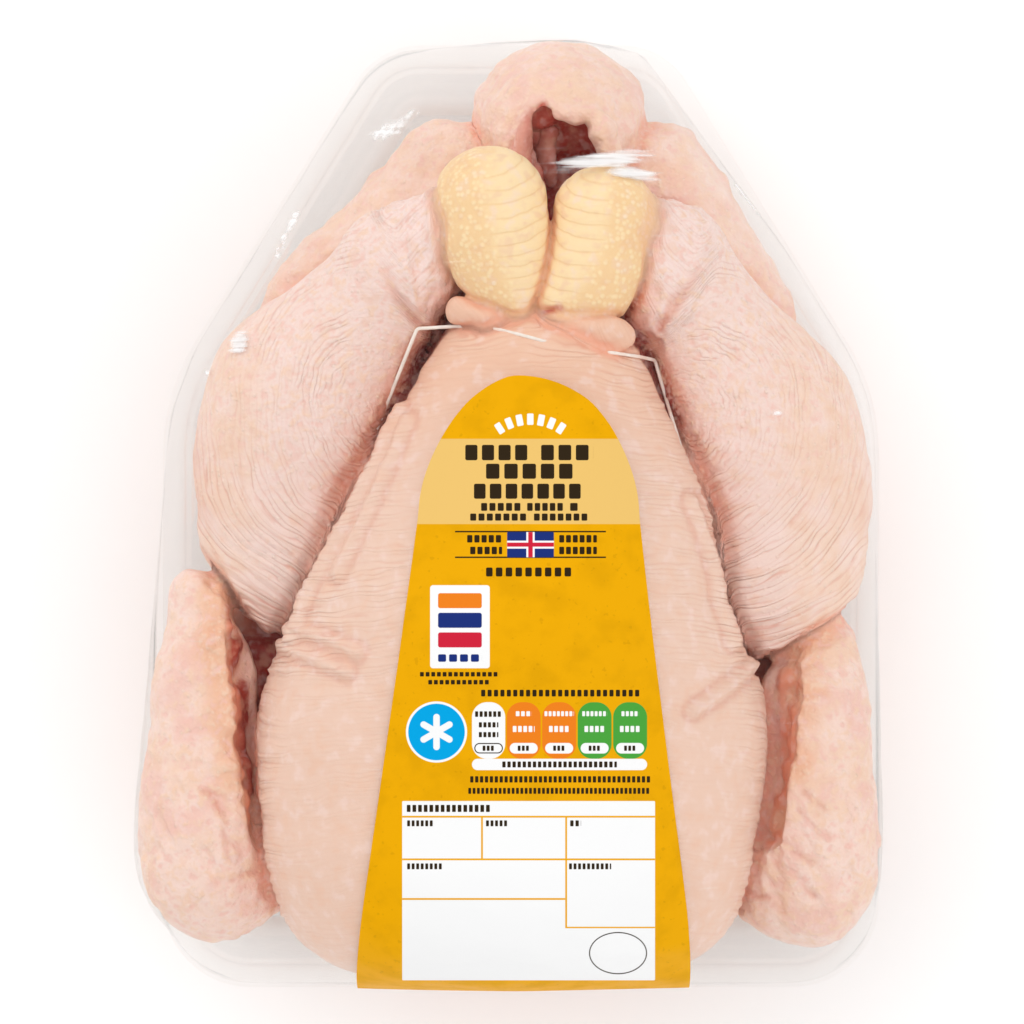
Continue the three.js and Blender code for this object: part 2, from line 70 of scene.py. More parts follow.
BACK = dict(centre=(0, -22, 36), radii=(64, 92, 33))
RUMP = dict(centre=(1, 68, 36), radii=(40, 34, 31))
NECK = dict(centre=(-2, -100, 34), radii=(44, 20, 27))
TAIL = dict(centre=(10.4, 101, 42), radii=(24.5, 25, 30))
BREAST = (
    (
        (-22, -82, 56, 47), (-22.4, -60, 58, 44), (-14.5, -38, 60, 43),
        (-9.2, -18, 62.5, 40), (-5, 0, 65, 36), (0, 31, 66, 25),
    ),
    (
        (15, -82, 56, 47), (18.3, -60, 58, 43.5), (10.6, -40, 60, 42.5),
        (8.4, -20, 62.5, 39.5), (11, -2, 65, 36), (9, 31, 66, 24),
    ),
)
KEEL = ((-2, -84, 73, 31), (0, -30, 77, 33), (4, 28, 74, 21), (5, 40, 74, 15))
FRONT = -124.5  # y where the film flattens the breast
LEFT = dict(
    thigh=((-58.2, 10, 38, 29.3), (-43.6, 50, 38, 22), (-18.5, 90, 44, 15.4)),
    drum=((-56.5, -6, 46, 27.6), (-57.4, 10, 48, 27.4), (-54, 30, 55, 26), (-33, 62, 70, 16)),
    cuff=dict(centre=(-31, 62, 71), radii=(13, 16.5, 15), turn=24),
    ankle=((-33, 66, 70, 13), (-10, 78, 80, 12.5)),
    hock=((-8.2, 81, 82, 15), (-5.9, 70, 83, 13.2), (-3.4, 61, 85, 8.8), (-0.2, 53, 89, 3.2)),
    wing=(
        (-83.5, -22, 50, 10), (-83, -46, 53, 12), (-82.8, -68, 54.5, 14.2),
        (-82.3, -86, 54, 15.8), (-82.5, -95, 53, 16),
    ),
    arm=((-77, -96, 48, 14), (-54, -84, 40, 16)),
    ridge=(
        (-79.4, -19.5, 57, 2.6), (-78, -34, 62.5, 3.8), (-76, -54, 65, 3.8),
        (-75, -66, 65.5, 3.8), (-73.6, -78, 64, 4),
    ),
    pit=((-66.4, -14, 64, 10.5), (-65.6, -38, 65, 10), (-65, -60, 66, 8.8), (-64, -80, 66, 6.4)),
    web=dict(centre=(-70, -52, 30), radii=(18, 42, 16)),
    pleat=(-34.5, 28),
    inner=1,
)
RIGHT = dict(
    thigh=((62.6, 4, 38, 28.6), (45.6, 50, 38, 23), (35.6, 76, 41, 18), (33.4, 91, 43, 14)),
    drum=((63, -12.4, 47, 27), (62.6, 6, 48, 27.4), (60.4, 24, 55, 25.6), (40, 62, 70, 16)),
    cuff=dict(centre=(37, 63, 71), radii=(14, 19, 15), turn=-12),
    ankle=((38, 66, 70, 13), (25, 75, 79, 13)),
    hock=((22, 76.6, 81, 14.7), (19.4, 66.5, 82, 12.2), (15.8, 59, 84, 10), (9.5, 53.4, 87, 6.6)),
    wing=(
        (77.6, -32, 47.5, 11.4), (76.4, -49, 53, 12.4), (76, -64, 54, 14),
        (76, -84, 54, 15.4), (77.5, -96, 53, 15.6),
    ),
    arm=((73, -99, 48, 14), (54, -86, 40, 16)),
    ridge=((76.5, -33, 54.5, 3.4), (74, -48, 64, 3.8), (73, -66, 65, 3.8), (70.6, -82, 62, 4)),
    pit=((63, -26, 65, 10), (62.2, -45, 66, 9.4), (62, -60, 66, 8.8), (61.8, -80, 66, 6.6)),
    web=dict(centre=(68, -56, 30), radii=(18, 42, 16)),
    pleat=(42, 26),
    inner=-1,
)
SIDES = (LEFT, RIGHT)
ROLL_LEFT = ((-15.2, 53.4, 85, 4.4), (-8, 51, 88, 4.6), (0.5, 47.6, 88.4, 3.8))
ROLL_RIGHT = dict(centre=(14.8, 47.8, 88), radii=(14.8, 7.4, 6.8), turn=-9)
CAVITY = ((8.4, 101.4, 80, 6.4), (11.4, 95.6, 68, 10.6), (10.4, 86, 62, 12), (6, 70, 60, 9))
LIP = (
    ((9.4, 107.8, 69.6, 2.2), (12, 105.8, 69.8, 3.2), (15, 105, 69.8, 3.4), (18.5, 104.6, 69.4, 3.4)),
    ((19, 104.8, 69.4, 3.4), (20.6, 100.8, 69.4, 3.6), (22.6, 96, 68.4, 3.2), (25.2, 91.5, 66, 2.2)),
)
MEMBRANES = (
    ((1.6, 105, 68, 1.8), (0.4, 99.4, 67.6, 2.6), (0.6, 93, 66, 3), (2.6, 86, 63, 2.6)),
    ((7.4, 101, 58, 1.6), (6.6, 95, 57, 2.0), (8, 88, 55, 1.8)),
)

# Routes in plan, for what runs over the surface: ridges of skin, creases and the leg tie.
CUFF_CREASES = (
    ((-37, 77), (-37, 69.3), (-35.2, 63), (-32.3, 56.8), (-28.9, 52.3), (-26.9, 50.3)),
    ((48.4, 68.2), (43.9, 60.1), (38, 52.3), (34.3, 44.3)),
)
BREAST_FOLDS = (
    ((-31.8, 28.4), (-38.3, 13.3), (-47.7, -4.4), (-56.5, -20.8), (-60.2, -32.3)),
    ((-29.4, 25), (-35, 12), (-42.6, -4.4), (-48, -15)),
    ((43.9, 4.2), (49.7, -11.4), (52.4, -24.2), (55.6, -33)), ((60.4, -39), (51.7, -45.4), (43.9, -50)),
    ((-62.6, -34), (-54, -36.6), (-45, -40)), ((-61, -29), (-52, -31), (-42, -35)),
)
WING_CREASES = (
    ((-75.2, -95.4), (-70.4, -93.3), (-66.1, -90.6)), ((-77.8, -82.1), (-76.3, -85.4), (-75.7, -89.5)),
    ((-79.9, -74.7), (-77.3, -76.8), (-76.5, -79.9)), ((-74.2, -84.9), (-72.6, -87.4), (-73.6, -90.6)),
    ((-83.2, -71.6), (-79.4, -72.6)), ((-67.2, -97), (-65.6, -99.2)),
    ((63.4, -82.1), (71.3, -88), (76.1, -90.6)), ((65, -87), (67.1, -90.6), (71.3, -93.8), (76.6, -99.2)),
    ((72.3, -76.8), (74.6, -78.9), (77.2, -82.1), (79.9, -83.2)),
    ((57, -97), (60.7, -99.2), (65, -99.7), (68.2, -103.3)), ((73.5, -71.6), (76.1, -74.2), (79.9, -76.8)),
    ((67.1, -93.8), (68.7, -97.6)),
)
# The tie's corners and where it dips under a fold: x, y and height above the skin.
TIE_ROUTE = (
    (-38.6, 20.2, -1.2), (-34.4, 30.6, -0.4), (-27, 48.6, 0.4), (-16.6, 49.2, 0.5), (-14, 49, -1.6),
    (-8, 48.4, -1.6), (-5.4, 48, -0.2), (0, 46.6, -0.1), (5, 45.2, -0.3), (9, 44.2, -1.6),
    (21, 42.4, -1.6), (23.4, 42.2, 0.4), (26.6, 41.8, 0.6), (30.6, 41.3, 0.6), (34.8, 40.6, 0.4),
    (37.6, 31, -0.4), (41.5, 17.2, -1.2),
)
SHANK_END = ((5.6, 52.6), (10, 53.6))

# The tray: its rim's corners with their radius, then its section from the rim down to the base.
TRAY_CORNERS = (
    (37.9, 124.8, 20), (-37.9, 124.8, 20), (-94.9, 32.6, 56),
    (-94.9, -124.8, 23), (94.9, -124.8, 23), (94.9, 32.6, 56),
)
RIM_WIDTH = 5.6
LEDGE_DROP = 3.2
LEDGE_WIDTH = 1.8
WALL_DRAFT = 5.2  # how far in the walls lean from the ledge to the foot
FOOT_HEIGHT = 4.6
BASE_FILLET = 3.6
SHEET = 0.8
WALL_ROOM = 1.2  # least room between the bird and the tray
BASE_ROOM = 1.8  # how much more of it there is over the base
SIDE_RADIUS = 50  # the bends at the tray's sides are wider than this
SIDE_BEND = 8  # how softly they press into the bird, less than their radius

# Depth and width of the furrow where each lobe meets the rest.
FURROWS = dict(tail=(2.0, 4.0), breast=(1.6, 2.0), leg=(3.0, 2.6), hock=(1.4, 1.4), roll=(1.0, 1.3))
BIRD_ROOM = ((-110, -130, -2), (106, 132, 120))  # lowest and highest corners round the whole bird

# ---- distance fields -----------------------------------------------------------------------


def blend(a, b, k):
    """The nearer of two fields, softened where they differ by less than k."""
    h = np.maximum(k - np.abs(a - b), 0.0) / k
    return np.minimum(a, b) - h * h * k * 0.25


def carve(a, b, k):
    """The first field with the second cut out of it, softened over k."""
    return -blend(-a, b, k)


def furrow(a, b, depth, width):
    """Two lobes laid together, with a furrow pressed in where they meet."""
    return np.minimum(a, b) + depth * np.exp(-(a * a + b * b) / (width * width))


def ellipsoid(p, centre, radii, turn=0.0):
    q = p - np.array(centre, np.float32)
    c = math.cos(math.radians(turn))
    s = math.sin(math.radians(turn))
    q = np.stack([q[:, 0] * c + q[:, 1] * s, q[:, 1] * c - q[:, 0] * s, q[:, 2]], 1)
    r = np.array(radii, np.float32)
    k0 = np.sqrt(((q / r) ** 2).sum(1))
    k1 = np.sqrt(((q / (r * r)) ** 2).sum(1))
    return k0 * (k0 - 1.0) / np.maximum(k1, 1e-6)


def bone(p, a, b):
    """Distance to a straight rod that tapers from one station to the next."""
    a = np.array(a, np.float32)
    b = np.array(b, np.float32)
    ab = b[:3] - a[:3]
    ap = p - a[:3]
    t = np.clip((ap @ ab) / (ab @ ab), 0.0, 1.0)
    away = ap - t[:, None] * ab
    return np.sqrt((away * away).sum(1)) - (a[3] + (b[3] - a[3]) * t)


def limb(p, stations, k=1):
    """Distance to rods from station to station, their joints softened over k."""
    d = bone(p, stations[0], stations[1])
    for a, b in zip(stations[1:-1], stations[2:]):
        d = blend(d, bone(p, a, b), k)
    return d


def tray_space(p):
    """Distance outside the room that the tray leaves: within its wall, or above its rim."""
    lean = RIM_WIDTH + LEDGE_WIDTH + (WALL_DRAFT + 1) * (1 - p[:, 2] / RIM)
    d = np.full(len(p), -1e3, np.float32)
    for (x, y, _), (nx, ny, radius) in zip(TRAY_CORNERS, TRAY_CORNERS[1:] + TRAY_CORNERS[:1]):
        edge = ((ny - y) * (p[:, 0] - x) - (nx - x) * (p[:, 1] - y)) / math.hypot(nx - x, ny - y) + lean
        d = carve(d, -edge, SIDE_BEND if radius > SIDE_RADIUS else radius)
    d = np.maximum(d, BASE_ROOM - p[:, 2])
    return np.minimum(d + WALL_ROOM, RIM + 2 * GAP - p[:, 2])


def lobes(p):
    """Distance to each of the bird's lobes on its own."""
    trunk = blend(ellipsoid(p, **BACK), ellipsoid(p, **RUMP), 24)
    trunk = blend(trunk, ellipsoid(p, **NECK), 14)
    for side in SIDES:
        trunk = blend(trunk, limb(p, side["thigh"], 18), 12)
        trunk = blend(trunk, ellipsoid(p, **side["web"]), 8)
    breast = blend(limb(p, BREAST[0], 14), limb(p, BREAST[1], 14), 26)
    breast = blend(breast, limb(p, KEEL, 10), 18)
    found = dict(trunk=trunk, tail=ellipsoid(p, **TAIL), breast=carve(breast, p[:, 1] - FRONT, 16))
    for name, side in zip(("left", "right"), SIDES):
        wing = blend(limb(p, side["wing"], 12), limb(p, side["arm"], 1), 8)
        found["ridge_" + name] = limb(p, side["ridge"], 5)
        found["wing_" + name] = blend(wing, found["ridge_" + name], 5)
        leg = blend(limb(p, side["drum"], 12), ellipsoid(p, **side["cuff"]), 8)
        found["leg_" + name] = blend(leg, limb(p, side["ankle"], 1), 4)
        found["hock_" + name] = limb(p, side["hock"], 8)
    found["roll"] = np.minimum(limb(p, ROLL_LEFT, 2), ellipsoid(p, **ROLL_RIGHT))
    found["cavity"] = limb(p, CAVITY, 8)
    vent = p[:, 1] > 80
    for name, pieces in (("lip", LIP), ("membrane", MEMBRANES)):
        found[name] = np.full(len(p), 50.0, np.float32)
        found[name][vent] = np.min([limb(p[vent], stations, 1.5) for stations in pieces], 0)
    found["pit"] = np.minimum(limb(p, LEFT["pit"], 2), limb(p, RIGHT["pit"], 2))
    return found


def bird_field(p):
    """Distance to the whole bird, its vent torn open and its sides pressed in by the tray."""
    f = lobes(p)
    d = furrow(f["trunk"], f["tail"], *FURROWS["tail"])
    d = np.minimum(d, np.minimum(f["wing_left"], f["wing_right"]))
    d = carve(d, f["pit"], 2.5)
    d = furrow(d, f["breast"], *FURROWS["breast"])
    for lobe in ("leg", "hock"):
        for name in ("left", "right"):
            d = furrow(d, f[f"{lobe}_{name}"], *FURROWS[lobe])
    d = furrow(d, f["roll"], *FURROWS["roll"])
    torn = (np.abs(f["cavity"]) < 6) & (p[:, 1] > 70)
    rough = np.zeros(len(p), np.float32)
    rough[torn] = 1.5 * noise(p[torn], 8, 3) + 0.9 * noise(p[torn], 3.4, 4)
    d = carve(d, f["cavity"] + rough, 1.2)
    d = blend(d, f["lip"] + 0.5 * rough, 2.0)
    d = blend(d, f["membrane"] + 0.4 * rough, 1.2)
    return carve(d, -tray_space(p), 2.5)


# ---- noise ---------------------------------------------------------------------------------


def lattice(cell, seed):
    """A repeatable number from -1 to 1 for each whole-numbered point."""
    n = cell[:, 0] * 73856093 ^ cell[:, 1] * 19349663 ^ cell[:, 2] * 83492791 ^ seed * 2654435
    n = (n << 13) ^ n
    n = (n * (n * n * 15731 + 789221) + 1376312589) & 0x7FFFFFFF
    return n.astype(np.float32) / 0x3FFFFFFF - 1.0


def noise(p, size, seed=0):
    """Smooth uneven values from -1 to 1, whose lumps are about a size apart."""
    q = p / np.float32(size)
    cell = np.floor(q).astype(np.int64)
    f = q - cell
    f = f * f * (3 - 2 * f)
    total = np.zeros(len(p), np.float32)
    for corner in itertools.product((0, 1), repeat=3):
        c = np.array(corner)
        share = np.where(c, f, 1 - f).prod(1)
        total += share * lattice(cell + c, seed)
    return total


# ---- a mesh from a field -------------------------------------------------------------------


COARSE = 4  # cells of the fine grid in one of the coarse
NEAR = 1.6  # coarse cells from the surface within which the fine values are worked out
JUST_INSIDE = -0.01  # the field a little under the surface


def grid_values(low, high, step):
    """Field values on a fine grid, worked out only near the surface."""
    axes = [np.arange(a, b + step, step, dtype=np.float32) for a, b in zip(low, high)]
    wide = step * COARSE
    rough = [np.arange(a[0], a[-1] + 2 * wide, wide, dtype=np.float32) for a in axes]
    points = np.stack(np.meshgrid(*rough, indexing="ij"), -1).reshape(-1, 3)
    coarse = in_blocks(bird_field, points).reshape([len(a) for a in rough])
    near = [np.clip(np.rint((a - a[0]) / wide).astype(int), 0, len(r) - 1) for a, r in zip(axes, rough)]
    value = coarse[np.ix_(*near)].astype(np.float32)
    band = np.abs(value) < wide * NEAR
    where = np.argwhere(band)
    points = np.stack([axes[k][where[:, k]] for k in range(3)], 1)
    value[band] = in_blocks(bird_field, points)
    return value, axes


def in_blocks(rule, points, block=300_000):
    """A rule's values at many points, worked out in blocks that fit in memory."""
    return np.concatenate([rule(points[i:i + block]) for i in range(0, len(points), block)])


def fill_pinches(value):
    """Fill grid corners round which the surface would touch itself, and count them."""
    filled = 0
    for axis in range(3):
        u, v = [(1, 2), (2, 0), (0, 1)][axis]

        def corner(du, dv):
            cut = [slice(None)] * 3
            cut[u] = slice(1, None) if du else slice(0, -1)
            cut[v] = slice(1, None) if dv else slice(0, -1)
            return value[tuple(cut)]

        a, b, c, d = corner(0, 0), corner(1, 0), corner(0, 1), corner(1, 1)
        odd = ((a < 0) == (d < 0)) & ((b < 0) == (c < 0)) & ((a < 0) != (b < 0))
        for x, y in ((a, d), (b, c)):
            first = odd & (x >= 0) & (x <= y)
            second = odd & (x >= 0) & (x > y)
            x[first] = JUST_INSIDE
            y[second] = JUST_INSIDE
        filled += int(odd.sum())
    return filled


def surface_net(value, axes):
    """One vertex for each cell that the surface crosses, and one quad for each crossed edge."""
    inside = value < 0
    n = value.shape
    count = np.zeros([k - 1 for k in n], np.int8)
    for i, j, k in itertools.product((0, 1), repeat=3):
        count += inside[i:n[0] - 1 + i, j:n[1] - 1 + j, k:n[2] - 1 + k]
    active = (count > 0) & (count < 8)
    index = np.full(active.shape, -1, np.int64)
    cells = np.argwhere(active)
    index[active] = np.arange(len(cells))
    total = np.zeros((len(cells), 3))
    crossings = np.zeros(len(cells))
    for axis in range(3):
        for u, v in itertools.product((0, 1), repeat=2):
            offset = np.zeros(3, int)
            offset[(axis + 1) % 3] = u
            offset[(axis + 2) % 3] = v
            a = cells + offset
            b = a.copy()
            b[:, axis] += 1
            va = value[tuple(a.T)].astype(float)
            vb = value[tuple(b.T)].astype(float)
            cross = (va < 0) != (vb < 0)
            spot = np.repeat(offset[None].astype(float), len(cells), 0)
            spot[:, axis] += np.where(cross, va / np.where(cross, va - vb, 1), 0)
            total[cross] += spot[cross]
            crossings[cross] += 1
    step = axes[0][1] - axes[0][0]
    start = np.array([a[0] for a in axes])
    points = (cells + total / crossings[:, None]) * step + start
    return points, net_quads(inside, index)


def net_quads(inside, index):
    """The quads of a surface net, each turned to face outwards."""
    quads = []
    for axis in range(3):
        u, v = [(1, 2), (2, 0), (0, 1)][axis]
        first = [slice(1, -1)] * 3
        second = [slice(1, -1)] * 3
        first[axis] = slice(0, -1)
        second[axis] = slice(1, None)
        a = inside[tuple(first)]
        crossed = a != inside[tuple(second)]
        edge = np.argwhere(crossed) + [int(k != axis) for k in range(3)]

        def cell(du, dv):
            c = edge.copy()
            c[:, u] += du
            c[:, v] += dv
            return index[tuple(c.T)]

        quad = np.stack([cell(-1, -1), cell(0, -1), cell(0, 0), cell(-1, 0)], 1)
        outward = a[crossed]
        quad[~outward] = quad[~outward][:, ::-1]
        quads.append(quad)
    return np.concatenate(quads)


def slopes(rule, p, reach=0.12):
    """The field's gradient by central differences."""
    g = np.zeros_like(p)
    for axis in range(3):
        e = np.zeros(3, np.float32)
        e[axis] = reach
        g[:, axis] = (in_blocks(rule, p + e) - in_blocks(rule, p - e)) / (2 * reach)
    return g


def largest_piece(count, faces):
    """Which vertices belong to the biggest connected piece, by spreading labels along edges."""
    label = np.arange(count)
    while True:
        low = label[faces].min(1)
        new = label.copy()
        for k in range(faces.shape[1]):
            np.minimum.at(new, faces[:, k], low)
        new = new[new]
        if (new == label).all():
            break
        label = new
    values, sizes = np.unique(label, return_counts=True)
    return label == values[sizes.argmax()]


# ---- mesh and node helpers -----------------------------------------------------------------


def linear(colour):
    """An sRGB colour given as 0 to 255, as linear light."""
    c = np.array(colour, float) / 255
    return np.where(c <= 0.04045, c / 12.92, ((c + 0.055) / 1.055) ** 2.4)


def mesh_object(name, points, faces, smooth=True):
    """A new object at the origin from points in millimetres and faces of one size."""
    mesh = bpy.data.meshes.new(name)
    faces = np.asarray(faces, np.int32)
    mesh.vertices.add(len(points))
    mesh.vertices.foreach_set("co", (np.asarray(points, float) * MM).ravel())
    mesh.loops.add(faces.size)
    mesh.loops.foreach_set("vertex_index", faces.ravel())
    mesh.polygons.add(len(faces))
    mesh.polygons.foreach_set("loop_start", np.arange(len(faces), dtype=np.int32) * faces.shape[1])
    mesh.update(calc_edges=True)
    mesh.validate()
    mesh.polygons.foreach_set("use_smooth", np.full(len(mesh.polygons), smooth))
    piece = bpy.data.objects.new(name, mesh)
    bpy.context.scene.collection.objects.link(piece)
    return piece


def mesh_points(mesh):
    """A mesh's vertices in millimetres."""
    flat = np.zeros(len(mesh.vertices) * 3, np.float32)
    mesh.vertices.foreach_get("co", flat)
    return flat.reshape(-1, 3) / MM


ATTRIBUTES = {1: ("FLOAT", "value"), 3: ("FLOAT_VECTOR", "vector"), 4: ("FLOAT_COLOR", "color")}


def add_attribute(mesh, name, values):
    """Give a mesh one number, vector or colour for each vertex, under a name."""
    values = np.asarray(values, np.float32)
    kind, key = ATTRIBUTES[values.size // len(values)]
    mesh.attributes.new(name, kind, "POINT").data.foreach_set(key, values.ravel())


def apply_modifiers(piece):
    """Make a piece and its modifiers plain mesh."""
    evaluated = piece.evaluated_get(bpy.context.evaluated_depsgraph_get())
    mesh = bpy.data.meshes.new_from_object(evaluated)
    piece.modifiers.clear()
    old = piece.data
    piece.data = mesh
    bpy.data.meshes.remove(old)


def put(tree, kind, sockets=None, **settings):
    """A new node, its settings made and its sockets linked or given values."""
    made = tree.nodes.new(kind)
    for key, value in settings.items():
        setattr(made, key, value)
    for key, value in (sockets or {}).items():
        if isinstance(value, bpy.types.NodeSocket):
            tree.links.new(value, made.inputs[key])
        else:
            made.inputs[key].default_value = value
    return made


def maths(tree, operation, *values, clamp=False):
    sockets = dict(enumerate(values))
    return put(tree, "ShaderNodeMath", sockets, operation=operation, use_clamp=clamp).outputs[0]


def vectors(tree, operation, *values, output="Vector"):
    sockets = dict(enumerate(values))
    return put(tree, "ShaderNodeVectorMath", sockets, operation=operation).outputs[output]


def mixed(tree, share, a, b):
    return put(tree, "ShaderNodeMix", {0: share, 6: a, 7: b}, data_type="RGBA").outputs[2]


def ranged(tree, value, low, high, to_low=0.0, to_high=1.0):
    """A value eased from one range to another."""
    sockets = {0: value, 1: low, 2: high, 3: to_low, 4: to_high}
    return put(tree, "ShaderNodeMapRange", sockets, interpolation_type="SMOOTHSTEP").outputs[0]


def attribute(tree, name, output="Fac"):
    return put(tree, "ShaderNodeAttribute", attribute_name=name).outputs[output]


def own_place(tree):
    """Where a point lies in its own piece, in metres."""
    return put(tree, "ShaderNodeTexCoord").outputs["Object"]


def clouds(tree, place, scale, detail=2.0):
    sockets = {"Vector": place, "Scale": scale, "Detail": detail}
    return put(tree, "ShaderNodeTexNoise", sockets).outputs[0]


def add_bump(tree, shader, height, distance, strength):
    bump = put(tree, "ShaderNodeBump", {"Height": height, "Distance": distance, "Strength": strength})
    tree.links.new(bump.outputs[0], shader.inputs["Normal"])


def material(name):
    """A new node material: the material, its tree and its Principled node."""
    made = bpy.data.materials.new(name)
    made.use_nodes = True
    return made, made.node_tree, made.node_tree.nodes["Principled BSDF"]


def group(name, inputs, outputs, kind="ShaderNodeTree"):
    """A new node group with named sockets: its tree, its inputs and its outputs."""
    tree = bpy.data.node_groups.new(name, kind)
    for side, sockets in (("INPUT", inputs), ("OUTPUT", outputs)):
        for label, socket in sockets.items():
            tree.interface.new_socket(label, in_out=side, socket_type="NodeSocket" + socket)
    return tree, tree.nodes.new("NodeGroupInput").outputs, tree.nodes.new("NodeGroupOutput").inputs


def finish_piece(piece, node, slot, *finishes):
    """Dress a piece with its finishes, hide the CAD node that it stands for, and attach it to the root
    body.
    """
    piece.data.materials.clear()
    for finish in finishes:
        piece.data.materials.append(finish)
    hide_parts(node)
    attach(piece, "root")


# ---- shared shader groups ------------------------------------------------------------------


def mottle_group():
    """Uneven colour: soft clouds that shift a colour towards two others, and the clouds themselves."""
    name = "Mottled Colour"
    if name in bpy.data.node_groups:
        return bpy.data.node_groups[name]
    tree, inp, out = group(
        name,
        {"Colour": "Color", "Warm": "Color", "Cool": "Color", "Size": "Float", "Amount": "Float"},
        {"Colour": "Color", "Cloud": "Float"},
    )
    cloud = clouds(tree, own_place(tree), inp["Size"])
    warm = maths(tree, "MULTIPLY", ranged(tree, cloud, 0.52, 0.7), inp["Amount"])
    cool = maths(tree, "MULTIPLY", ranged(tree, cloud, 0.3, 0.48, 1.0, 0.0), inp["Amount"])
    shade = mixed(tree, warm, inp["Colour"], inp["Warm"])
    tree.links.new(mixed(tree, cool, shade, inp["Cool"]), out["Colour"])
    tree.links.new(cloud, out["Cloud"])
    return tree


def pleat_group():
    """Fine skin pleats: broad crests and narrow creases that run along a flow in millimetres."""
    tree, inp, out = group(
        "Skin Pleats",
        {"Flow": "Vector", "Depth": "Float", "Spacing": "Float"},
        {"Crest": "Float", "Crease": "Float"},
    )
    across = put(tree, "ShaderNodeSeparateXYZ", {0: inp["Flow"]}).outputs["X"]
    sockets = {"Vector": inp["Flow"], "Scale": 0.28, "Detail": 2.0, "Roughness": 0.6}
    wander = put(tree, "ShaderNodeTexNoise", sockets).outputs[0]
    turns = maths(tree, "MULTIPLY_ADD", wander, 3.4, maths(tree, "DIVIDE", across, inp["Spacing"]))
    wave = maths(tree, "ABSOLUTE", maths(tree, "SINE", maths(tree, "MULTIPLY", turns, math.pi)))
    depth = maths(tree, "MULTIPLY", ranged(tree, wander, 0.34, 0.6, 0.3, 1.0), inp["Depth"])
    tree.links.new(maths(tree, "MULTIPLY", wave, depth), out["Crest"])
    tree.links.new(maths(tree, "MULTIPLY", ranged(tree, wave, 0.0, 0.6, 1.0, 0.0), depth), out["Crease"])
    return tree


def pore_group():
    """Small raised spots a set distance apart: feather pores, or close scales with gaps."""
    tree, inp, out = group(
        "Pores And Scales",
        {"Spacing": "Float", "Amount": "Float", "Scales": "Float"},
        {"Height": "Float", "Spot": "Float", "Gap": "Float"},
    )
    scale = maths(tree, "DIVIDE", 1.0, inp["Spacing"])
    sockets = {"Vector": own_place(tree), "Scale": scale, "Randomness": 0.8}
    cells = put(tree, "ShaderNodeTexVoronoi", sockets)
    away = cells.outputs["Distance"]
    drawn = put(tree, "ShaderNodeSeparateColor", {0: cells.outputs["Color"]}).outputs[0]
    chance = ranged(tree, drawn, 0.35, 0.8)
    spot = maths(tree, "MULTIPLY", ranged(tree, away, 0.12, 0.42, 1.0, 0.0), chance)
    spot = maths(tree, "MULTIPLY", spot, inp["Amount"])
    gap = maths(tree, "MULTIPLY", ranged(tree, away, 0.2, 0.56), inp["Scales"])
    tree.links.new(maths(tree, "MULTIPLY_ADD", gap, -0.6, spot), out["Height"])
    tree.links.new(maths(tree, "MULTIPLY", spot, 0.4), out["Spot"])
    tree.links.new(gap, out["Gap"])
    return tree


# ---- settings ------------------------------------------------------------------------------


def tint(name, description, red, green, blue):
    """A colour setting from an sRGB colour given as 0 to 255."""
    default = tuple(float(c) for c in linear((red, green, blue)))
    return FloatVectorProperty(
        name=name, description=description, subtype="COLOR", size=3, min=0, max=1, default=default
    )


def length(name, description, default, low, high):
    return FloatProperty(name=name, description=description, default=default, min=low, max=high)


class BirdSettings(PropertyGroup):
    cell: length("Cell", "Size of the surface's cells, in millimetres", 0.95, 0.5, 4)
    faces: length("Faces", "Most triangles in the bird", 195000, 1000, 199000)
    pleat: length("Pleat depth", "Depth of the skin's pleats, in millimetres", 0.5, 0, 2)
    breast: tint("Breast", "Smooth skin over the breast", 241, 206, 187)
    tip: tint("Breast tip", "Warmer skin where the breast is pulled up to the hocks", 241, 196, 169)
    leg: tint("Leg", "Thin skin with dark meat under it", 247, 220, 211)
    fat: tint("Fat", "Skin with yellow fat under it", 247, 211, 186)
    back: tint("Back", "Skin over the thighs and the back", 247, 214, 198)
    cuff: tint("Cuff", "Gathered pale skin round the hocks", 251, 226, 220)
    hock: tint("Hock", "Yellow scaly skin", 255, 228, 182)
    hock_gap: tint("Hock gaps", "Between the scales", 243, 196, 138)
    wing: tint("Wing", "Skin over the wings", 250, 220, 207)
    ridge: tint("Wing edge", "Orange edge of the wings", 243, 190, 156)
    rosy: tint("Rosy lumps", "Pinker spots on lumpy skin", 245, 200, 187)
    # Painted shade: a darker colour laid along creases, pleat valleys, the legs' inner edges and beside the
    # breast's folds
    crease_shade: tint("Creases", "Fine creases in the skin", 222, 150, 128)
    # Rosy patches on the back, and painted shade in the grooves between lobes, in the pits under the wings
    # and in the gap between legs and breast
    blush_and_shade: tint("Blush", "Deep folds of skin", 246, 164, 134)
    # Flesh colour: real in the vent and at the shank's cut end, and laid as painted shade in the pits under
    # the wings and in the gap between legs and breast
    flesh: tint("Flesh", "Wet flesh in the vent and behind the wings", 206, 96, 80)
    # Painted shade: the darkest red, laid low in the pits under the wings, at the bottom of the gap between
    # legs and breast, and deep in the vent
    deep: tint("Deep flesh", "Darkest flesh", 152, 30, 20)
    membrane: tint("Membrane", "Thin skin over flesh", 232, 176, 160)
    # Raised feather pores, and also the painted highlight on the pleats' crests
    pore_and_crest_highlight: tint("Pores", "Raised feather pores", 252, 230, 214)


class PackSettings(PropertyGroup):
    tie_radius: length("Tie radius", "Half the elastic string's width, in millimetres", 0.48, 0.2, 2)
    tie_colour: tint("Tie", "Off-white elastic", 252, 246, 238)
    film_sheet: length("Film", "Thickness of the film, in millimetres", 0.3, 0.1, 1)
    film_wrinkle: length("Film wrinkles", "Depth of the film's pull lines, in millimetres", 0.25, 0, 2)
    clear_tint: tint("Clear tint", "What the clear sheet lets through", 253, 252.5, 252)


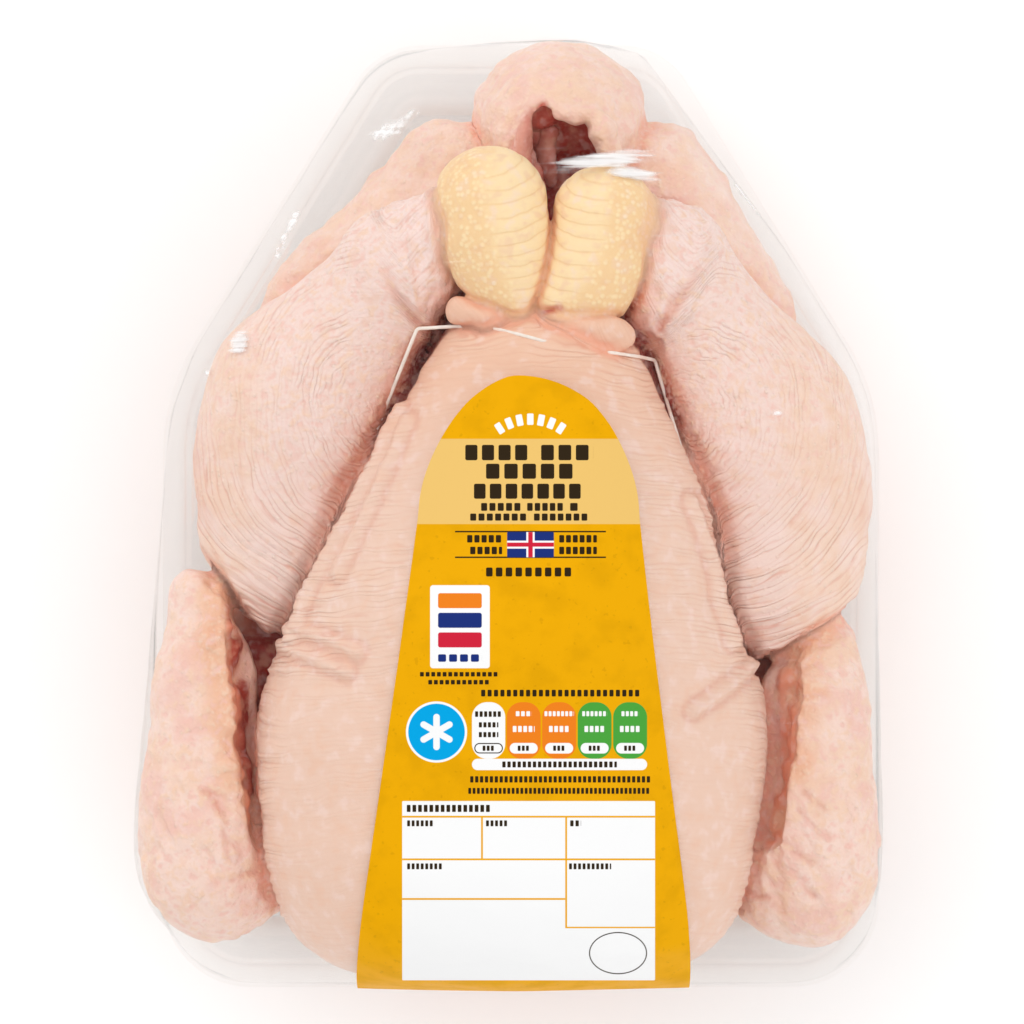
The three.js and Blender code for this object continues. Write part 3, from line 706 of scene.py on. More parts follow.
class LabelSettings(PropertyGroup):
    sheet: length("Sheet", "Thickness of the label, in millimetres", 0.3, 0.1, 1)
    mustard: tint("Mustard", "The label's ground", 235, 169, 1)
    pale: tint("Pale band", "Band across the label's shoulders", 235, 193, 110)
    dark: tint("Dark ink", "Dark blocks and rules", 48, 36, 20)
    white: tint("White", "White fields", 246, 246, 246)
    orange: tint("Orange", "Orange fields", 236, 128, 30)
    green: tint("Green", "Green fields", 74, 162, 62)
    blue: tint("Blue", "Blue roundel", 0, 164, 226)
    navy: tint("Navy", "Navy blocks", 28, 48, 120)
    red: tint("Red", "Red bars", 206, 36, 60)


class StageSettings(PropertyGroup):
    floor: tint("Floor", "Plain pale floor", 254, 254, 254)
    ambient: length("Ambient", "Strength of the white surroundings", 0.68, 0, 5)
    key: length("Key", "How much stronger the light is from the back left", 0.8, 0, 20)
    fill: length("Fill", "How much stronger the light is from the front right", 0.6, 0, 20)


# ---- the bird ------------------------------------------------------------------------------


def route_distance(p, route):
    """Distance in plan from a route of x, y points."""
    best = np.full(len(p), 1e3, np.float32)
    for a, b in zip(route[:-1], route[1:]):
        a = np.array(a, np.float32)
        ab = np.array(b, np.float32) - a
        ap = p[:, :2] - a
        t = np.clip((ap @ ab) / (ab @ ab), 0, 1)
        best = np.minimum(best, np.hypot(*(ap - t[:, None] * ab).T))
    return best


def hump(distance, width):
    """1 at no distance, falling softly to 0 over about twice the width."""
    return np.exp(-(distance / width) ** 2)


def step_up(value, low, high):
    """0 below a low value, 1 above a high one and eased between them."""
    t = np.clip((value - low) / (high - low), 0, 1)
    return t * t * (3 - 2 * t)


NOT_LOBES = ("cavity", "lip", "membrane", "pit", "ridge_left", "ridge_right")


def survey(p):
    """What each surface point belongs to, and where it lies in the patterns of its skin."""
    f = lobes(p)
    names = [n for n in f if n not in NOT_LOBES]
    stack = np.stack([f[n] for n in names], 1)
    order = np.sort(stack, 1)
    share = np.exp(-(stack - order[:, :1]) / 0.5)
    share /= share.sum(1, keepdims=True)
    # Each lobe's share of a point, which is 1 well inside it and fades across a groove.
    s = {n: share[:, i] for i, n in enumerate(names)}
    s["fields"] = f
    s["next"] = np.maximum(order[:, 1], 0)
    y = p[:, 1]
    s["membrane"] = 1 - step_up(f["membrane"], 0.6, 1.8)
    s["cavity"] = (1 - step_up(f["cavity"], 0.5, 1.8)) * step_up(f["lip"], 0.2, 1.4)
    s["leg"] = s["leg_left"] + s["leg_right"]
    s["hock"] = s["hock_left"] + s["hock_right"]
    s["wing"] = s["wing_left"] + s["wing_right"]
    # How far the skin is from a hock, and where it lies bare under the wings, where flesh colour is laid
    # with painted shade.
    s["sleeve"] = np.maximum(np.minimum(f["hock_left"], f["hock_right"]), 0)
    s["under"] = (s["wing"] + s["trunk"]) * (1 - step_up(f["pit"], 0.4, 1.6))
    s["across"], s["along"], s["depth"] = pleats(p, s)
    s["scute"], s["scale"], s["band"] = hock_pattern(p, s)
    # The wings' edges, the gathered skin round the hocks, and lumpy skin.
    ridge = np.minimum(f["ridge_left"], f["ridge_right"])
    s["ridge"] = s["wing"] * hump(np.maximum(ridge - 0.5, 0), 2.4)
    s["cuff"] = s["leg"] * hump(np.maximum(s["sleeve"] - 8, 0), 5)
    s["cuff_crease"] = np.max([hump(route_distance(p, r), 1.3) for r in CUFF_CREASES], 0) * s["leg"]
    s["cuff_crease"] *= 1 - step_up(y, 62, 72)
    s["lumpy"] = 0.8 * (s["wing"] + s["tail"] + s["trunk"] * step_up(y, 34, 50))
    s["lumpy"] += 0.7 * s["leg"] * step_up(y, -10, 30)
    s["lumpy"] *= (1 - s["cavity"]) * (1 - s["under"])
    # Folds and creases along their routes, and the cut end of the shank.
    wobble = p + 0.8 * np.stack([noise(p, 3, 52), noise(p, 3, 53), 0 * y], 1)
    fold = np.min([route_distance(p, route) for route in BREAST_FOLDS], 0) + 0.4 * noise(p, 3, 52)
    s["fold"] = s["breast"] * hump(fold, 1.3)
    s["fold_side"] = s["breast"] * hump(fold - 2.6, 0.8)
    s["wing_crease"] = np.max([hump(route_distance(wobble, r), 0.85) for r in WING_CREASES], 0) * s["wing"]
    s["cut"] = hump(route_distance(p, SHANK_END), 0.8) * (s["hock_right"] + s["roll"]) * (p[:, 2] > 80)
    return s


def pleats(p, s):
    """Where each point lies across and along the skin's fine pleats, and how deep they are."""
    x, y = p[:, 0], p[:, 1]
    across = np.zeros(len(p), np.float32)
    along = np.zeros(len(p), np.float32)
    depth = np.zeros(len(p), np.float32)
    beside = np.maximum(np.minimum(s["next"], s["fields"]["pit"] + 1), 0)
    patchy = 0.3 + 0.9 * step_up(noise(p, 6, 58), -0.35, 0.35)
    # The legs: rings that widen from a middle, deepest round the knee and beside the breast.
    for name, side in zip(("left", "right"), SIDES):
        leg = s["leg_" + name]
        dx, dy = x - side["pleat"][0], y - side["pleat"][1]
        across += leg * (np.abs(dx) ** 2.5 + np.abs(dy) ** 2.5) ** 0.4
        along += leg * np.arctan2(dy, -dx * side["inner"]) * 40
        knee = step_up(-y, -6, 34)
        upper = step_up(y, 18, 42)
        inner = hump(np.maximum(s["next"] - 1, 0), 11) * (1 - step_up(y, 16, 30))
        leg *= step_up(s["sleeve"], 9, 17)
        depth += leg * ((0.34 + 0.5 * knee + 0.25 * upper) * patchy + 0.7 * inner)
    # The breast: level lines, deepest along its edges and where the wings pull it.
    middle = np.abs(x - 1.5)
    edge = hump(beside, 9)
    band = step_up(y, -46, -22) * step_up(middle, 16, 36)
    gathered = step_up(y, -52, -36) * (1 - step_up(y, -20, -8)) * step_up(middle, 34, 50)
    across += s["breast"] * (y + 0.10 * middle)
    along += s["breast"] * x
    depth += s["breast"] * (0.16 + 0.5 * edge + 0.26 * band + 0.3 * gathered) * (0.4 + 0.6 * patchy)
    s["beside"] = beside
    # Rings round the hocks, and slanting lines over the rest.
    sleeve = s["leg"] * (1 - step_up(s["sleeve"], 9, 17))
    across += sleeve * s["sleeve"]
    depth += 0.4 * sleeve
    rest = 1 - s["leg"] - s["breast"] - s["hock"]
    across += rest * (x * 0.8 + y * 0.6)
    along += rest * (y * 0.8 - x * 0.6)
    depth += rest * 0.2 * s["roll"]
    across += 1.6 * noise(p, 17, 11) + 0.5 * noise(p, 6, 12)
    return across, along, np.clip(depth, 0, 1.2)


def hock_pattern(p, s):
    """Broad scutes on each hock's inner half, small scales on its outer, and the count of bands."""
    scute = np.zeros(len(p), np.float32)
    scale = np.zeros(len(p), np.float32)
    for name, side in zip(("left", "right"), SIDES):
        line = np.array(side["hock"], np.float32)
        off = side["inner"] * (p[:, 0] - np.interp(-p[:, 1], -line[:, 1], line[:, 0]))
        inner = step_up(off + 1.5 * noise(p, 5, 9), -4, 3)
        scute += s["hock_" + name] * inner
        scale += s["hock_" + name] * (1 - inner)
    band = (p[:, 1] + 0.5 * p[:, 2] + 0.9 * noise(p, 9, 6) + 0.4 * noise(p, 3, 5)) / 3.3
    return scute, scale, band


def skin_relief(p, s, pleat):
    """How far the surface stands out, in millimetres: each pattern's height times where it is."""
    y = p[:, 1]
    # Fine pleats, waves beside the grooves and broad swells.
    flow = np.stack([s["across"], s["along"] * 0.2, np.zeros(len(p), np.float32)], 1)
    out = 2.2 * pleat * (0.3 - np.abs(noise(flow, 3.2, 21))) * s["depth"]
    wave = np.abs(np.sin(math.pi * (s["across"] + 1.2 * noise(flow, 7, 23)) / 2.7))
    edge = (s["breast"] + s["leg"]) * hump(np.maximum(s["beside"] - 2, 0), 6) * (1 - step_up(y, 20, 34))
    out += 1.2 * pleat * (wave - 0.5) * edge
    out += (0.5 * noise(p, 26, 1) + 0.22 * noise(p, 11, 2)) * (1 - s["hock"])
    # Folds of the breast, and the gathered skin round the hocks.
    out += 1.6 * s["fold"] - 0.4 * s["fold_side"] - 0.8 * s["cuff_crease"]
    out += s["cuff"] * (1.6 * (0.3 - np.abs(noise(p * [1, 0.7, 1], 4.4, 54))) + 0.5 * noise(p, 2.3, 55))
    swirl = np.stack([s["sleeve"] + 2.2 * noise(p, 9, 8), s["along"] * 0.12, y * 0.1], 1)
    folds = 0.4 - np.abs(noise(swirl, 4.6, 24)) * 1.6
    out += 1.3 * s["leg"] * folds * hump(np.maximum(s["sleeve"] - 6, 0), 8) * step_up(s["sleeve"], 0.5, 3)
    # Scutes and scales.
    out += 0.4 * (np.abs(np.sin(math.pi * s["band"])) ** 0.6 - 0.8) * s["scute"]
    out += 0.16 * noise(p, 2.3, 7) * s["scale"]
    # Wings: lumps that lie a little low, slanting grooves at the neck end, knobs along the edge.
    out += s["wing"] * (0.6 * noise(p, 8, 12) + 0.42 * noise(p, 3.4, 13) + 0.2 * noise(p, 2.1, 56) - 0.7)
    slant = np.stack([p[:, 0] + 0.6 * y, 0.35 * (y - 0.6 * p[:, 0]), p[:, 2]], 1)
    out -= s["wing"] * hump(y + 84, 22) * step_up(noise(slant, 3.4, 31), 0.1, 0.6)
    out += s["ridge"] * (0.4 + 1.1 * noise(p * [1, 0.7, 1], 4.2, 14) + 0.9 * noise(p, 2.4, 15))
    out -= 0.7 * s["wing_crease"]
    # Flesh behind the wings and in the vent.
    out += s["under"] * 0.9 * noise(p * [1, 0.3, 1], 3, 22)
    out += s["cavity"] * (1.3 * noise(p * [1, 0.5, 0.5], 4.4, 16) + 0.5 * noise(p, 2.2, 17))
    # Loose skin of the tail and the back, the rolls and the cut end of the shank.
    out += (s["tail"] + s["trunk"]) * (0.8 * noise(p, 6, 18) + 0.5 * noise(p, 2.8, 19))
    out += s["roll"] * (0.5 * noise(p * [0.35, 1, 1], 2.2, 20) + 1.1 * noise(p * [0.3, 1, 0.6], 5, 25))
    return out - 0.9 * s["cut"]


def skin_tone(p, s, settings):
    """The skin's broad colours, each laid over the ones before it by its share; some are painted shade in
    grooves, creases, pits, the gap between legs and breast and the vent.
    """
    f = s["fields"]
    x, y, z = p.T
    left = x < 0
    inside = s["cavity"]
    # Where lobes meet: a mask that is 1 in the grooves, for the painted shade there
    crease_shade = hump(s["next"], 1.6)
    margin = step_up(np.abs(x) - 0.25 * (y < 10) * (10 - y) * 0.3, 62, 76)
    # The legs' inner edges beside the breast, where painted shade is laid
    inner = s["leg"] * hump(s["next"], 6) * step_up(y, -20, 10) * step_up(-y, -62, -40)
    # Painted shade under the wings at the neck end: flesh colour, darkest red lower down on the left
    behind = s["trunk"] * step_up(-y, 14, 26) * step_up(70 - np.abs(x) * 0.12 - z, 4, 12)
    behind *= 1 - step_up(f["pit"], 10, 18)
    # The gap between the legs and the breast, where painted shade is laid: rosy beside each groove, redder
    # lower down, darkest red at the bottom
    gap = (1 - s["roll"] - s["hock"]) * step_up(y, 14, 30) * (1 - step_up(y, 56, 62))
    gap *= step_up(-np.abs(x - 1), -44, -40)
    side = gap * (s["leg"] + s["trunk"])
    curl = step_up(noise(p * [1, 1, 0.5], 4, 61), -0.3, 0.4)
    streaks = step_up(noise(p * [1, 0.4, 0.5], 3.4, 30), 0.15, 0.6)
    layers = (
        ("breast", s["breast"]),
        ("tip", (s["breast"] * step_up(y, 8, 44) + s["roll"]) * 0.9),
        ("leg", s["leg"]),
        ("fat", s["leg"] * margin * 0.7),
        ("cuff", s["leg"] * hump(np.maximum(s["sleeve"] - 6, 0), 9)),
        ("wing", s["wing"]),
        ("fat", (s["trunk"] * 0.6 + s["wing"] * 0.8) * step_up(noise(p, 7, 33), 0.0, 0.6)),
        ("blush_and_shade", s["trunk"] * 0.2 * step_up(noise(p, 9, 34), 0.0, 0.7)),
        ("rosy", (s["wing"] + s["tail"]) * 0.8 * step_up(noise(p, 8, 60), 0.1, 0.6)),
        ("cuff", (s["leg"] + s["tail"]) * 0.5 * step_up(noise(p, 6, 35), 0.0, 0.6)),
        # Painted shade, rosy, in the grooves between lobes
        ("blush_and_shade", crease_shade * 0.6 * (1 - 0.6 * s["hock"])),
        # Painted shade along the legs' inner edges beside the breast
        ("crease_shade", inner * (0.7 + 0.4 * noise(p, 6, 57))),
        ("hock", s["hock"]),
        # Painted shade, orange, in the groove round each hock
        ("ridge", s["hock"] * crease_shade * 0.8),
        ("ridge", s["ridge"] * 0.85),
        # Flesh in the pits under the wings, with painted shade that deepens lower down, darkest on the left
        ("blush_and_shade", s["under"] * 0.8),
        ("flesh", s["under"] * step_up(59 + 7 * left - z, 0, 7) * 0.9),
        ("deep", s["under"] * left * step_up(64 - z, 0, 6) * 0.9),
        ("flesh", behind),
        ("deep", behind * step_up(52 - z, 0, 10) * left),
        # Painted shade in the gap between the legs and the breast
        ("blush_and_shade", side * hump(s["next"], 4) * 0.8),
        ("flesh", side * step_up(74 - z, 0, 6) * 0.8),
        ("deep", gap * hump(s["next"], 1.5) * step_up(86 - z, 0, 4)),
        # Painted shade in the wings' creases and beside the breast's folds
        ("crease_shade", s["wing_crease"] * 0.5 + s["fold_side"] * 0.4),
        ("fat", s["tail"] * (1 - inside) * hump(f["cavity"] - 4, 7) * curl),
        # Painted shade in the fold round each cuff
        ("crease_shade", s["cuff_crease"] * step_up(-y, -70, -52) * 0.8),
        ("flesh", s["cut"]),
        ("flesh", inside),
        # Painted shade deep in the vent, darker lower down
        ("deep", inside * step_up(66 - z, 0, 14) * 0.7),
        ("membrane", inside * streaks * 0.25),
        ("membrane", np.maximum(s["membrane"] * 0.6, inside * step_up(-x, -5, 1) * 0.8)),
    )
    tone = np.repeat(np.array(settings.back)[None], len(p), 0)
    for name, share in layers:
        share = np.clip(share, 0, 1)[:, None]
        tone = tone * (1 - share) + np.array(getattr(settings, name)) * share
    return np.column_stack([tone, np.ones(len(p))])


def skin_material(settings):
    """Thin raw skin: its broad tones mottled and pleated, with pores, scutes and scales, painted highlight
    on the pleats' crests and painted shade in their valleys.
    """
    finish, tree, skin = material("raw chicken skin")
    scale = attribute(tree, "scale")
    lumpy = attribute(tree, "lumpy")
    mottle = put(tree, "ShaderNodeGroup", {
        "Colour": attribute(tree, "tone", "Color"), "Size": 240.0, "Amount": 0.4,
        "Warm": (*settings.tip, 1), "Cool": (*settings.cuff, 1),
    }, node_tree=mottle_group())
    lumps = put(tree, "ShaderNodeGroup", {
        "Colour": mottle.outputs["Colour"], "Size": 400.0, "Amount": lumpy,
        "Warm": (*settings.fat, 1), "Cool": (*settings.rosy, 1),
    }, node_tree=mottle_group())
    pleat = put(tree, "ShaderNodeGroup", {
        "Flow": attribute(tree, "flow", "Vector"), "Depth": attribute(tree, "depth"), "Spacing": 1.4,
    }, node_tree=pleat_group())
    pore = put(tree, "ShaderNodeGroup", {
        "Spacing": 0.0016, "Amount": attribute(tree, "pores"), "Scales": scale,
    }, node_tree=pore_group())
    turns = maths(tree, "MULTIPLY", attribute(tree, "band"), math.pi)
    band = maths(tree, "ABSOLUTE", maths(tree, "SINE", turns))
    line = maths(tree, "MULTIPLY", ranged(tree, band, 0.0, 0.42, 1.0, 0.0), attribute(tree, "scute"))

    # Painted highlight on the pleats' crests and painted shade in their valleys
    crest_highlight = maths(tree, "MULTIPLY", pleat.outputs["Crest"], 0.3)
    crease_shade = maths(tree, "MULTIPLY", pleat.outputs["Crease"], 0.5, clamp=True)
    gaps = maths(tree, "MULTIPLY", pore.outputs["Gap"], 0.5)
    gaps = maths(tree, "MULTIPLY_ADD", line, 0.4, gaps, clamp=True)
    colour = lumps.outputs["Colour"]
    for share, over in (
        (crest_highlight, settings.pore_and_crest_highlight), (crease_shade, settings.crease_shade),
        (pore.outputs["Spot"], settings.pore_and_crest_highlight), (gaps, settings.hock_gap),
    ):
        colour = mixed(tree, share, colour, (*over, 1))
    tree.links.new(colour, skin.inputs["Base Color"])

    grain = clouds(tree, own_place(tree), 800.0)
    height = maths(tree, "MULTIPLY", pleat.outputs["Crest"], 0.28)
    for relief, rise in (
        (lumps.outputs["Cloud"], lumpy), (pore.outputs["Height"], 0.16), (grain, 0.1), (line, -0.08),
    ):
        height = maths(tree, "MULTIPLY_ADD", relief, rise, height)
    add_bump(tree, skin, height, 0.001, 0.9)

    dry = ranged(tree, grain, 0.35, 0.68, 0.38, 0.54)
    rough = maths(tree, "MULTIPLY_ADD", attribute(tree, "wet"), -0.2, dry)
    tree.links.new(rough, skin.inputs["Roughness"])
    skin.inputs["Specular IOR Level"].default_value = 0.25
    return finish


class CHICKEN_OT_bird(Operator):
    """Make the bird: one closed skin with its pleats, scales, torn vent and colours"""

    bl_idname = "chicken.bird"
    bl_label = "Bird"

    def execute(self, context):
        settings = context.scene.chicken_bird
        cell = settings.cell
        value, axes = grid_values(*BIRD_ROOM, cell)
        while fill_pinches(value):
            continue
        points, faces = surface_net(value, axes)
        points = points.astype(np.float32)
        kept = largest_piece(len(points), faces)
        faces = (np.cumsum(kept) - 1)[faces[kept[faces[:, 0]]]]
        points = points[kept]
        # Draw the points onto the surface, then raise each by the skin's relief.
        away = slopes(bird_field, points)
        size = np.maximum((away * away).sum(1), 0.3)
        points -= (np.clip(bird_field(points), -0.4, 0.4) / size)[:, None] * away
        away /= np.sqrt(size)[:, None]
        relief = skin_relief(points, survey(points), settings.pleat)
        relief *= step_up(-tray_space(points), 0.2, 2.5)
        points += relief[:, None] * away
        bird = mesh_object("chicken_skin", points, faces)
        # Thin the mesh to the number of triangles that is set.
        triangles = 2 * len(faces)
        if triangles > settings.faces:
            thin = bird.modifiers.new("thin", "DECIMATE")
            thin.ratio = settings.faces / triangles
            thin.use_collapse_triangulate = True
            apply_modifiers(bird)
        self.colour(bird, settings)
        finish_piece(bird, "chicken", "skin", skin_material(settings))
        return {"FINISHED"}

    def colour(self, bird, settings):
        """Lay the broad colours and the patterns' coordinates on the finished surface."""
        mesh = bird.data
        p = mesh_points(mesh)
        s = survey(p)
        add_attribute(mesh, "tone", skin_tone(p, s, settings))
        add_attribute(mesh, "flow", np.column_stack([s["across"], s["along"] * 0.2, 0 * s["along"]]))
        for name in ("depth", "scute", "scale", "band"):
            add_attribute(mesh, name, s[name])
        shown = step_up(p[:, 1], 20, 34) * s["trunk"] + s["wing"] * (1 - s["under"])
        pores = s["leg"] + shown * 0.8 + s["tail"] * 0.6 + s["breast"] * 0.15
        add_attribute(mesh, "pores", pores * (1 - s["cavity"]))
        add_attribute(mesh, "lumpy", np.clip(s["lumpy"], 0, 1))
        add_attribute(mesh, "wet", np.clip(s["cavity"] + 0.3 * s["breast"], 0, 1))


# ---- the leg tie ---------------------------------------------------------------------------


DROP_FROM = 130.0  # above the whole bird
DROP_STEPS = 200
TOUCHING = 0.02
TIE_BEND = 1.2  # radius of the tie's corners
TIE_FLATTENING = 0.8  # the string's depth as a share of its width


def height_at(x, y):
    """Height of the bird's bare form under each point, found by stepping down from above."""
    p = np.stack([x, y, np.full(len(x), DROP_FROM)], 1).astype(np.float32)
    for _ in range(DROP_STEPS):
        d = bird_field(p)
        p[:, 2] -= np.where(d > TOUCHING, np.maximum(d * 0.7, TOUCHING), 0)
    return p[:, 2]


def string_tree():
    """Geometry nodes for a taut elastic string: small bends at its corners and an oval section."""
    tree, inp, out = group(
        "Taut String",
        {"Geometry": "Geometry", "Radius": "Float", "Bend": "Float", "Finish": "Material"},
        {"Geometry": "Geometry"}, "GeometryNodeTree",
    )
    corners = {"Curve": inp["Geometry"], "Radius": inp["Bend"]}
    bent = put(tree, "GeometryNodeFilletCurve", corners, mode="POLY")
    bent.inputs["Count"].default_value = 5
    ring = put(tree, "GeometryNodeCurvePrimitiveCircle", {"Resolution": 12, "Radius": inp["Radius"]})
    squeezed = {"Geometry": ring.outputs[0], "Scale": (1.0, TIE_FLATTENING, 1.0)}
    oval = put(tree, "GeometryNodeTransform", squeezed)
    sockets = {"Curve": bent.outputs[0], "Profile Curve": oval.outputs[0], "Fill Caps": True}
    tube = put(tree, "GeometryNodeCurveToMesh", sockets)
    smooth = put(tree, "GeometryNodeSetShadeSmooth", {0: tube.outputs[0]})
    whole = put(tree, "GeometryNodeRealizeInstances", {0: smooth.outputs[0]})
    finish = {"Geometry": whole.outputs[0], "Material": inp["Finish"]}
    dressed = put(tree, "GeometryNodeSetMaterial", finish)
    tree.links.new(dressed.outputs[0], out["Geometry"])
    return tree


def elastic_material(settings):
    """Off-white woven elastic, a little stained, with a fine fuzz."""
    finish, tree, elastic = material("off-white elastic")
    mottle = put(tree, "ShaderNodeGroup", {
        "Colour": (*settings.tie_colour, 1), "Size": 160.0, "Amount": 0.5,
        "Warm": (*linear((240, 206, 186)), 1), "Cool": (*linear((228, 220, 214)), 1),
    }, node_tree=mottle_group())
    tree.links.new(mottle.outputs["Colour"], elastic.inputs["Base Color"])
    fuzz = clouds(tree, own_place(tree), 2600.0)
    add_bump(tree, elastic, fuzz, 0.0001, 0.5)
    tree.links.new(ranged(tree, fuzz, 0.3, 0.7, 0.4, 0.6), elastic.inputs["Roughness"])
    return finish


class CHICKEN_OT_leg_tie(Operator):
    """Run the elastic tie from groove to groove across the rolls of skin"""

    bl_idname = "chicken.leg_tie"
    bl_label = "Leg Tie"

    def execute(self, context):
        settings = context.scene.chicken_pack
        route = np.array(TIE_ROUTE)
        heights = height_at(route[:, 0], route[:, 1]) + route[:, 2]
        curve = bpy.data.curves.new("leg_tie_route", "CURVE")
        curve.dimensions = "3D"
        spline = curve.splines.new("POLY")
        spline.points.add(len(route) - 1)
        for point, (x, y, _), z in zip(spline.points, route, heights):
            point.co = (x * MM, y * MM, z * MM, 1)
        tie = bpy.data.objects.new("leg_tie_route", curve)
        context.scene.collection.objects.link(tie)
        finish = elastic_material(settings)
        taut = tie.modifiers.new("taut", "NODES")
        taut.node_group = string_tree()
        values = {"Radius": settings.tie_radius * MM, "Bend": TIE_BEND * MM, "Finish": finish}
        for socket in taut.node_group.interface.items_tree:
            if socket.in_out == "INPUT" and socket.name in values:
                taut[socket.identifier] = values[socket.name]
        context.view_layer.update()
        mesh = bpy.data.meshes.new_from_object(tie.evaluated_get(context.evaluated_depsgraph_get()))
        bpy.data.objects.remove(tie)
        string = bpy.data.objects.new("leg_tie_string", mesh)
        context.scene.collection.objects.link(string)
        finish_piece(string, "leg_tie", "elastic", finish)
        return {"FINISHED"}


# ---- the tray ------------------------------------------------------------------------------


def tray_ring(inset, z, steps=14):
    """The tray's outline drawn in by an inset, at one height."""
    ring = []
    around = TRAY_CORNERS[-1:] + TRAY_CORNERS + TRAY_CORNERS[:1]
    for before, corner, after in zip(around[:-2], around[1:-1], around[2:]):
        here = Vector(corner[:2])
        a = (Vector(before[:2]) - here).normalized()
        b = (Vector(after[:2]) - here).normalized()
        half = math.acos(a.dot(b)) / 2
        inward = (a + b).normalized()
        bend = max(corner[2] - inset, 3)
        centre = here + inward * ((inset + bend) / math.sin(half))
        outward = math.atan2(-inward.y, -inward.x)
        sweep = math.pi / 2 - half
        for i in range(steps + 1):
            angle = outward - sweep + 2 * sweep * i / steps
            ring.append((centre.x + bend * math.cos(angle), centre.y + bend * math.sin(angle), z))
    return ring


def rounded(profile, radius, steps=4):
    """A profile of inset and height with each inner corner made a small curve."""
    out = [profile[0]]
    for before, here, after in zip(profile[:-2], profile[1:-1], profile[2:]):
        here = Vector(here)
        a = Vector(before) - here
        b = Vector(after) - here
        reach = min(radius, a.length * 0.4, b.length * 0.4)
        start = here + a.normalized() * reach
        end = here + b.normalized() * reach
        for i in range(steps + 1):
            t = i / steps
            out.append(tuple(start * (1 - t) ** 2 + here * 2 * t * (1 - t) + end * t * t))
    return out + [profile[-1]]


def clear_material(name, settings, haze, gloss, glare=None):
    """Clear sheet: light goes straight through, and a share that grows at a slant is mirrored; with a glare
    mask, glare is painted on in white streaks.
    """
    finish, tree, sheet = material(name)
    through = put(tree, "ShaderNodeBsdfTransparent", {0: (*settings.clear_tint, 1)})
    slant = put(tree, "ShaderNodeFresnel", {"IOR": gloss}).outputs[0]
    back = put(tree, "ShaderNodeNewGeometry").outputs["Backfacing"]
    front = maths(tree, "SUBTRACT", 1.0, back)
    share = maths(tree, "MULTIPLY_ADD", slant, front, haze)
    place = own_place(tree)
    smear = clouds(tree, place, 60.0, 0.0)
    tree.links.new(ranged(tree, smear, 0.3, 0.7, 0.05, 0.14), sheet.inputs["Roughness"])
    sheet.inputs["Base Color"].default_value = (0.98, 0.98, 0.98, 1)
    sheet.inputs["Metallic"].default_value = 1.0
    # Painted glare: where the mask is high the sheet turns plain white, in streaks
    if glare:
        turn = {"Vector": place, "Rotation": (0, 0, math.radians(-9)), "Scale": (55, 750, 0)}
        rays = clouds(tree, put(tree, "ShaderNodeMapping", turn).outputs[0], 1.0)
        white = maths(tree, "MULTIPLY_ADD", attribute(tree, glare), 0.62, rays)
        white = ranged(tree, white, 0.66, 1.2, 0.0, 0.75)
        metal = ranged(tree, white, 0.02, 0.2, 1.0, 0.0)
        tree.links.new(metal, sheet.inputs["Metallic"])
        share = maths(tree, "MAXIMUM", share, white)
    mix = put(tree, "ShaderNodeMixShader", {0: share, 1: through.outputs[0], 2: sheet.outputs[0]})
    tree.links.new(mix.outputs[0], tree.nodes["Material Output"].inputs["Surface"])
    return finish


class CHICKEN_OT_tray(Operator):
    """Loft the clear tray: flat base, sloping walls, a ledge and a rounded rim"""

    bl_idname = "chicken.tray"
    bl_label = "Tray"

    def execute(self, context):
        settings = context.scene.chicken_pack
        ledge = RIM - LEDGE_DROP
        inner = RIM_WIDTH + LEDGE_WIDTH
        foot = inner + WALL_DRAFT
        outside = [
            (foot + BASE_FILLET, 0), (foot + 0.4 - SHEET, 1.2), (foot - SHEET, FOOT_HEIGHT),
            (inner - SHEET, ledge - SHEET), (RIM_WIDTH - SHEET * 0.4, ledge + 0.2 - SHEET),
            (RIM_WIDTH - SHEET, RIM - SHEET), (0, RIM - SHEET),
        ]
        inside = [
            (0, RIM), (RIM_WIDTH, RIM), (RIM_WIDTH + 0.5, ledge + 0.2), (inner, ledge),
            (foot, FOOT_HEIGHT), (foot + 0.6, 2), (foot + BASE_FILLET, SHEET),
        ]
        profile = rounded(outside + inside, 0.9)
        rings = [tray_ring(inset, z) for inset, z in profile]
        n = len(rings[0])
        points = np.array(rings).reshape(-1, 3)
        faces = []
        for r in range(len(rings) - 1):
            for i in range(n):
                a, b = r * n + i, r * n + (i + 1) % n
                faces += [(a, b, b + n), (a, b + n, a + n)]
        last = (len(rings) - 1) * n
        for i in range(1, n - 1):
            faces += [(0, i + 1, i), (last, last + i, last + i + 1)]
        tray = mesh_object("tray_clear", points, faces)
        tray.data.set_sharp_from_angle(angle=math.radians(50))
        finish_piece(tray, "tray", "clear_tray", clear_material("clear tray", settings, 0.03, 1.3))
        return {"FINISHED"}


# ---- the film ------------------------------------------------------------------------------

FILM_CLEAR = 0.45  # least gap between the film's outer face and the skin
FILM_MIDDLE = (0.0, -10.0, RIM + GAP)
PULL_LINES = (22, 1.6)  # how close the film's pull lines lie, round it and up it


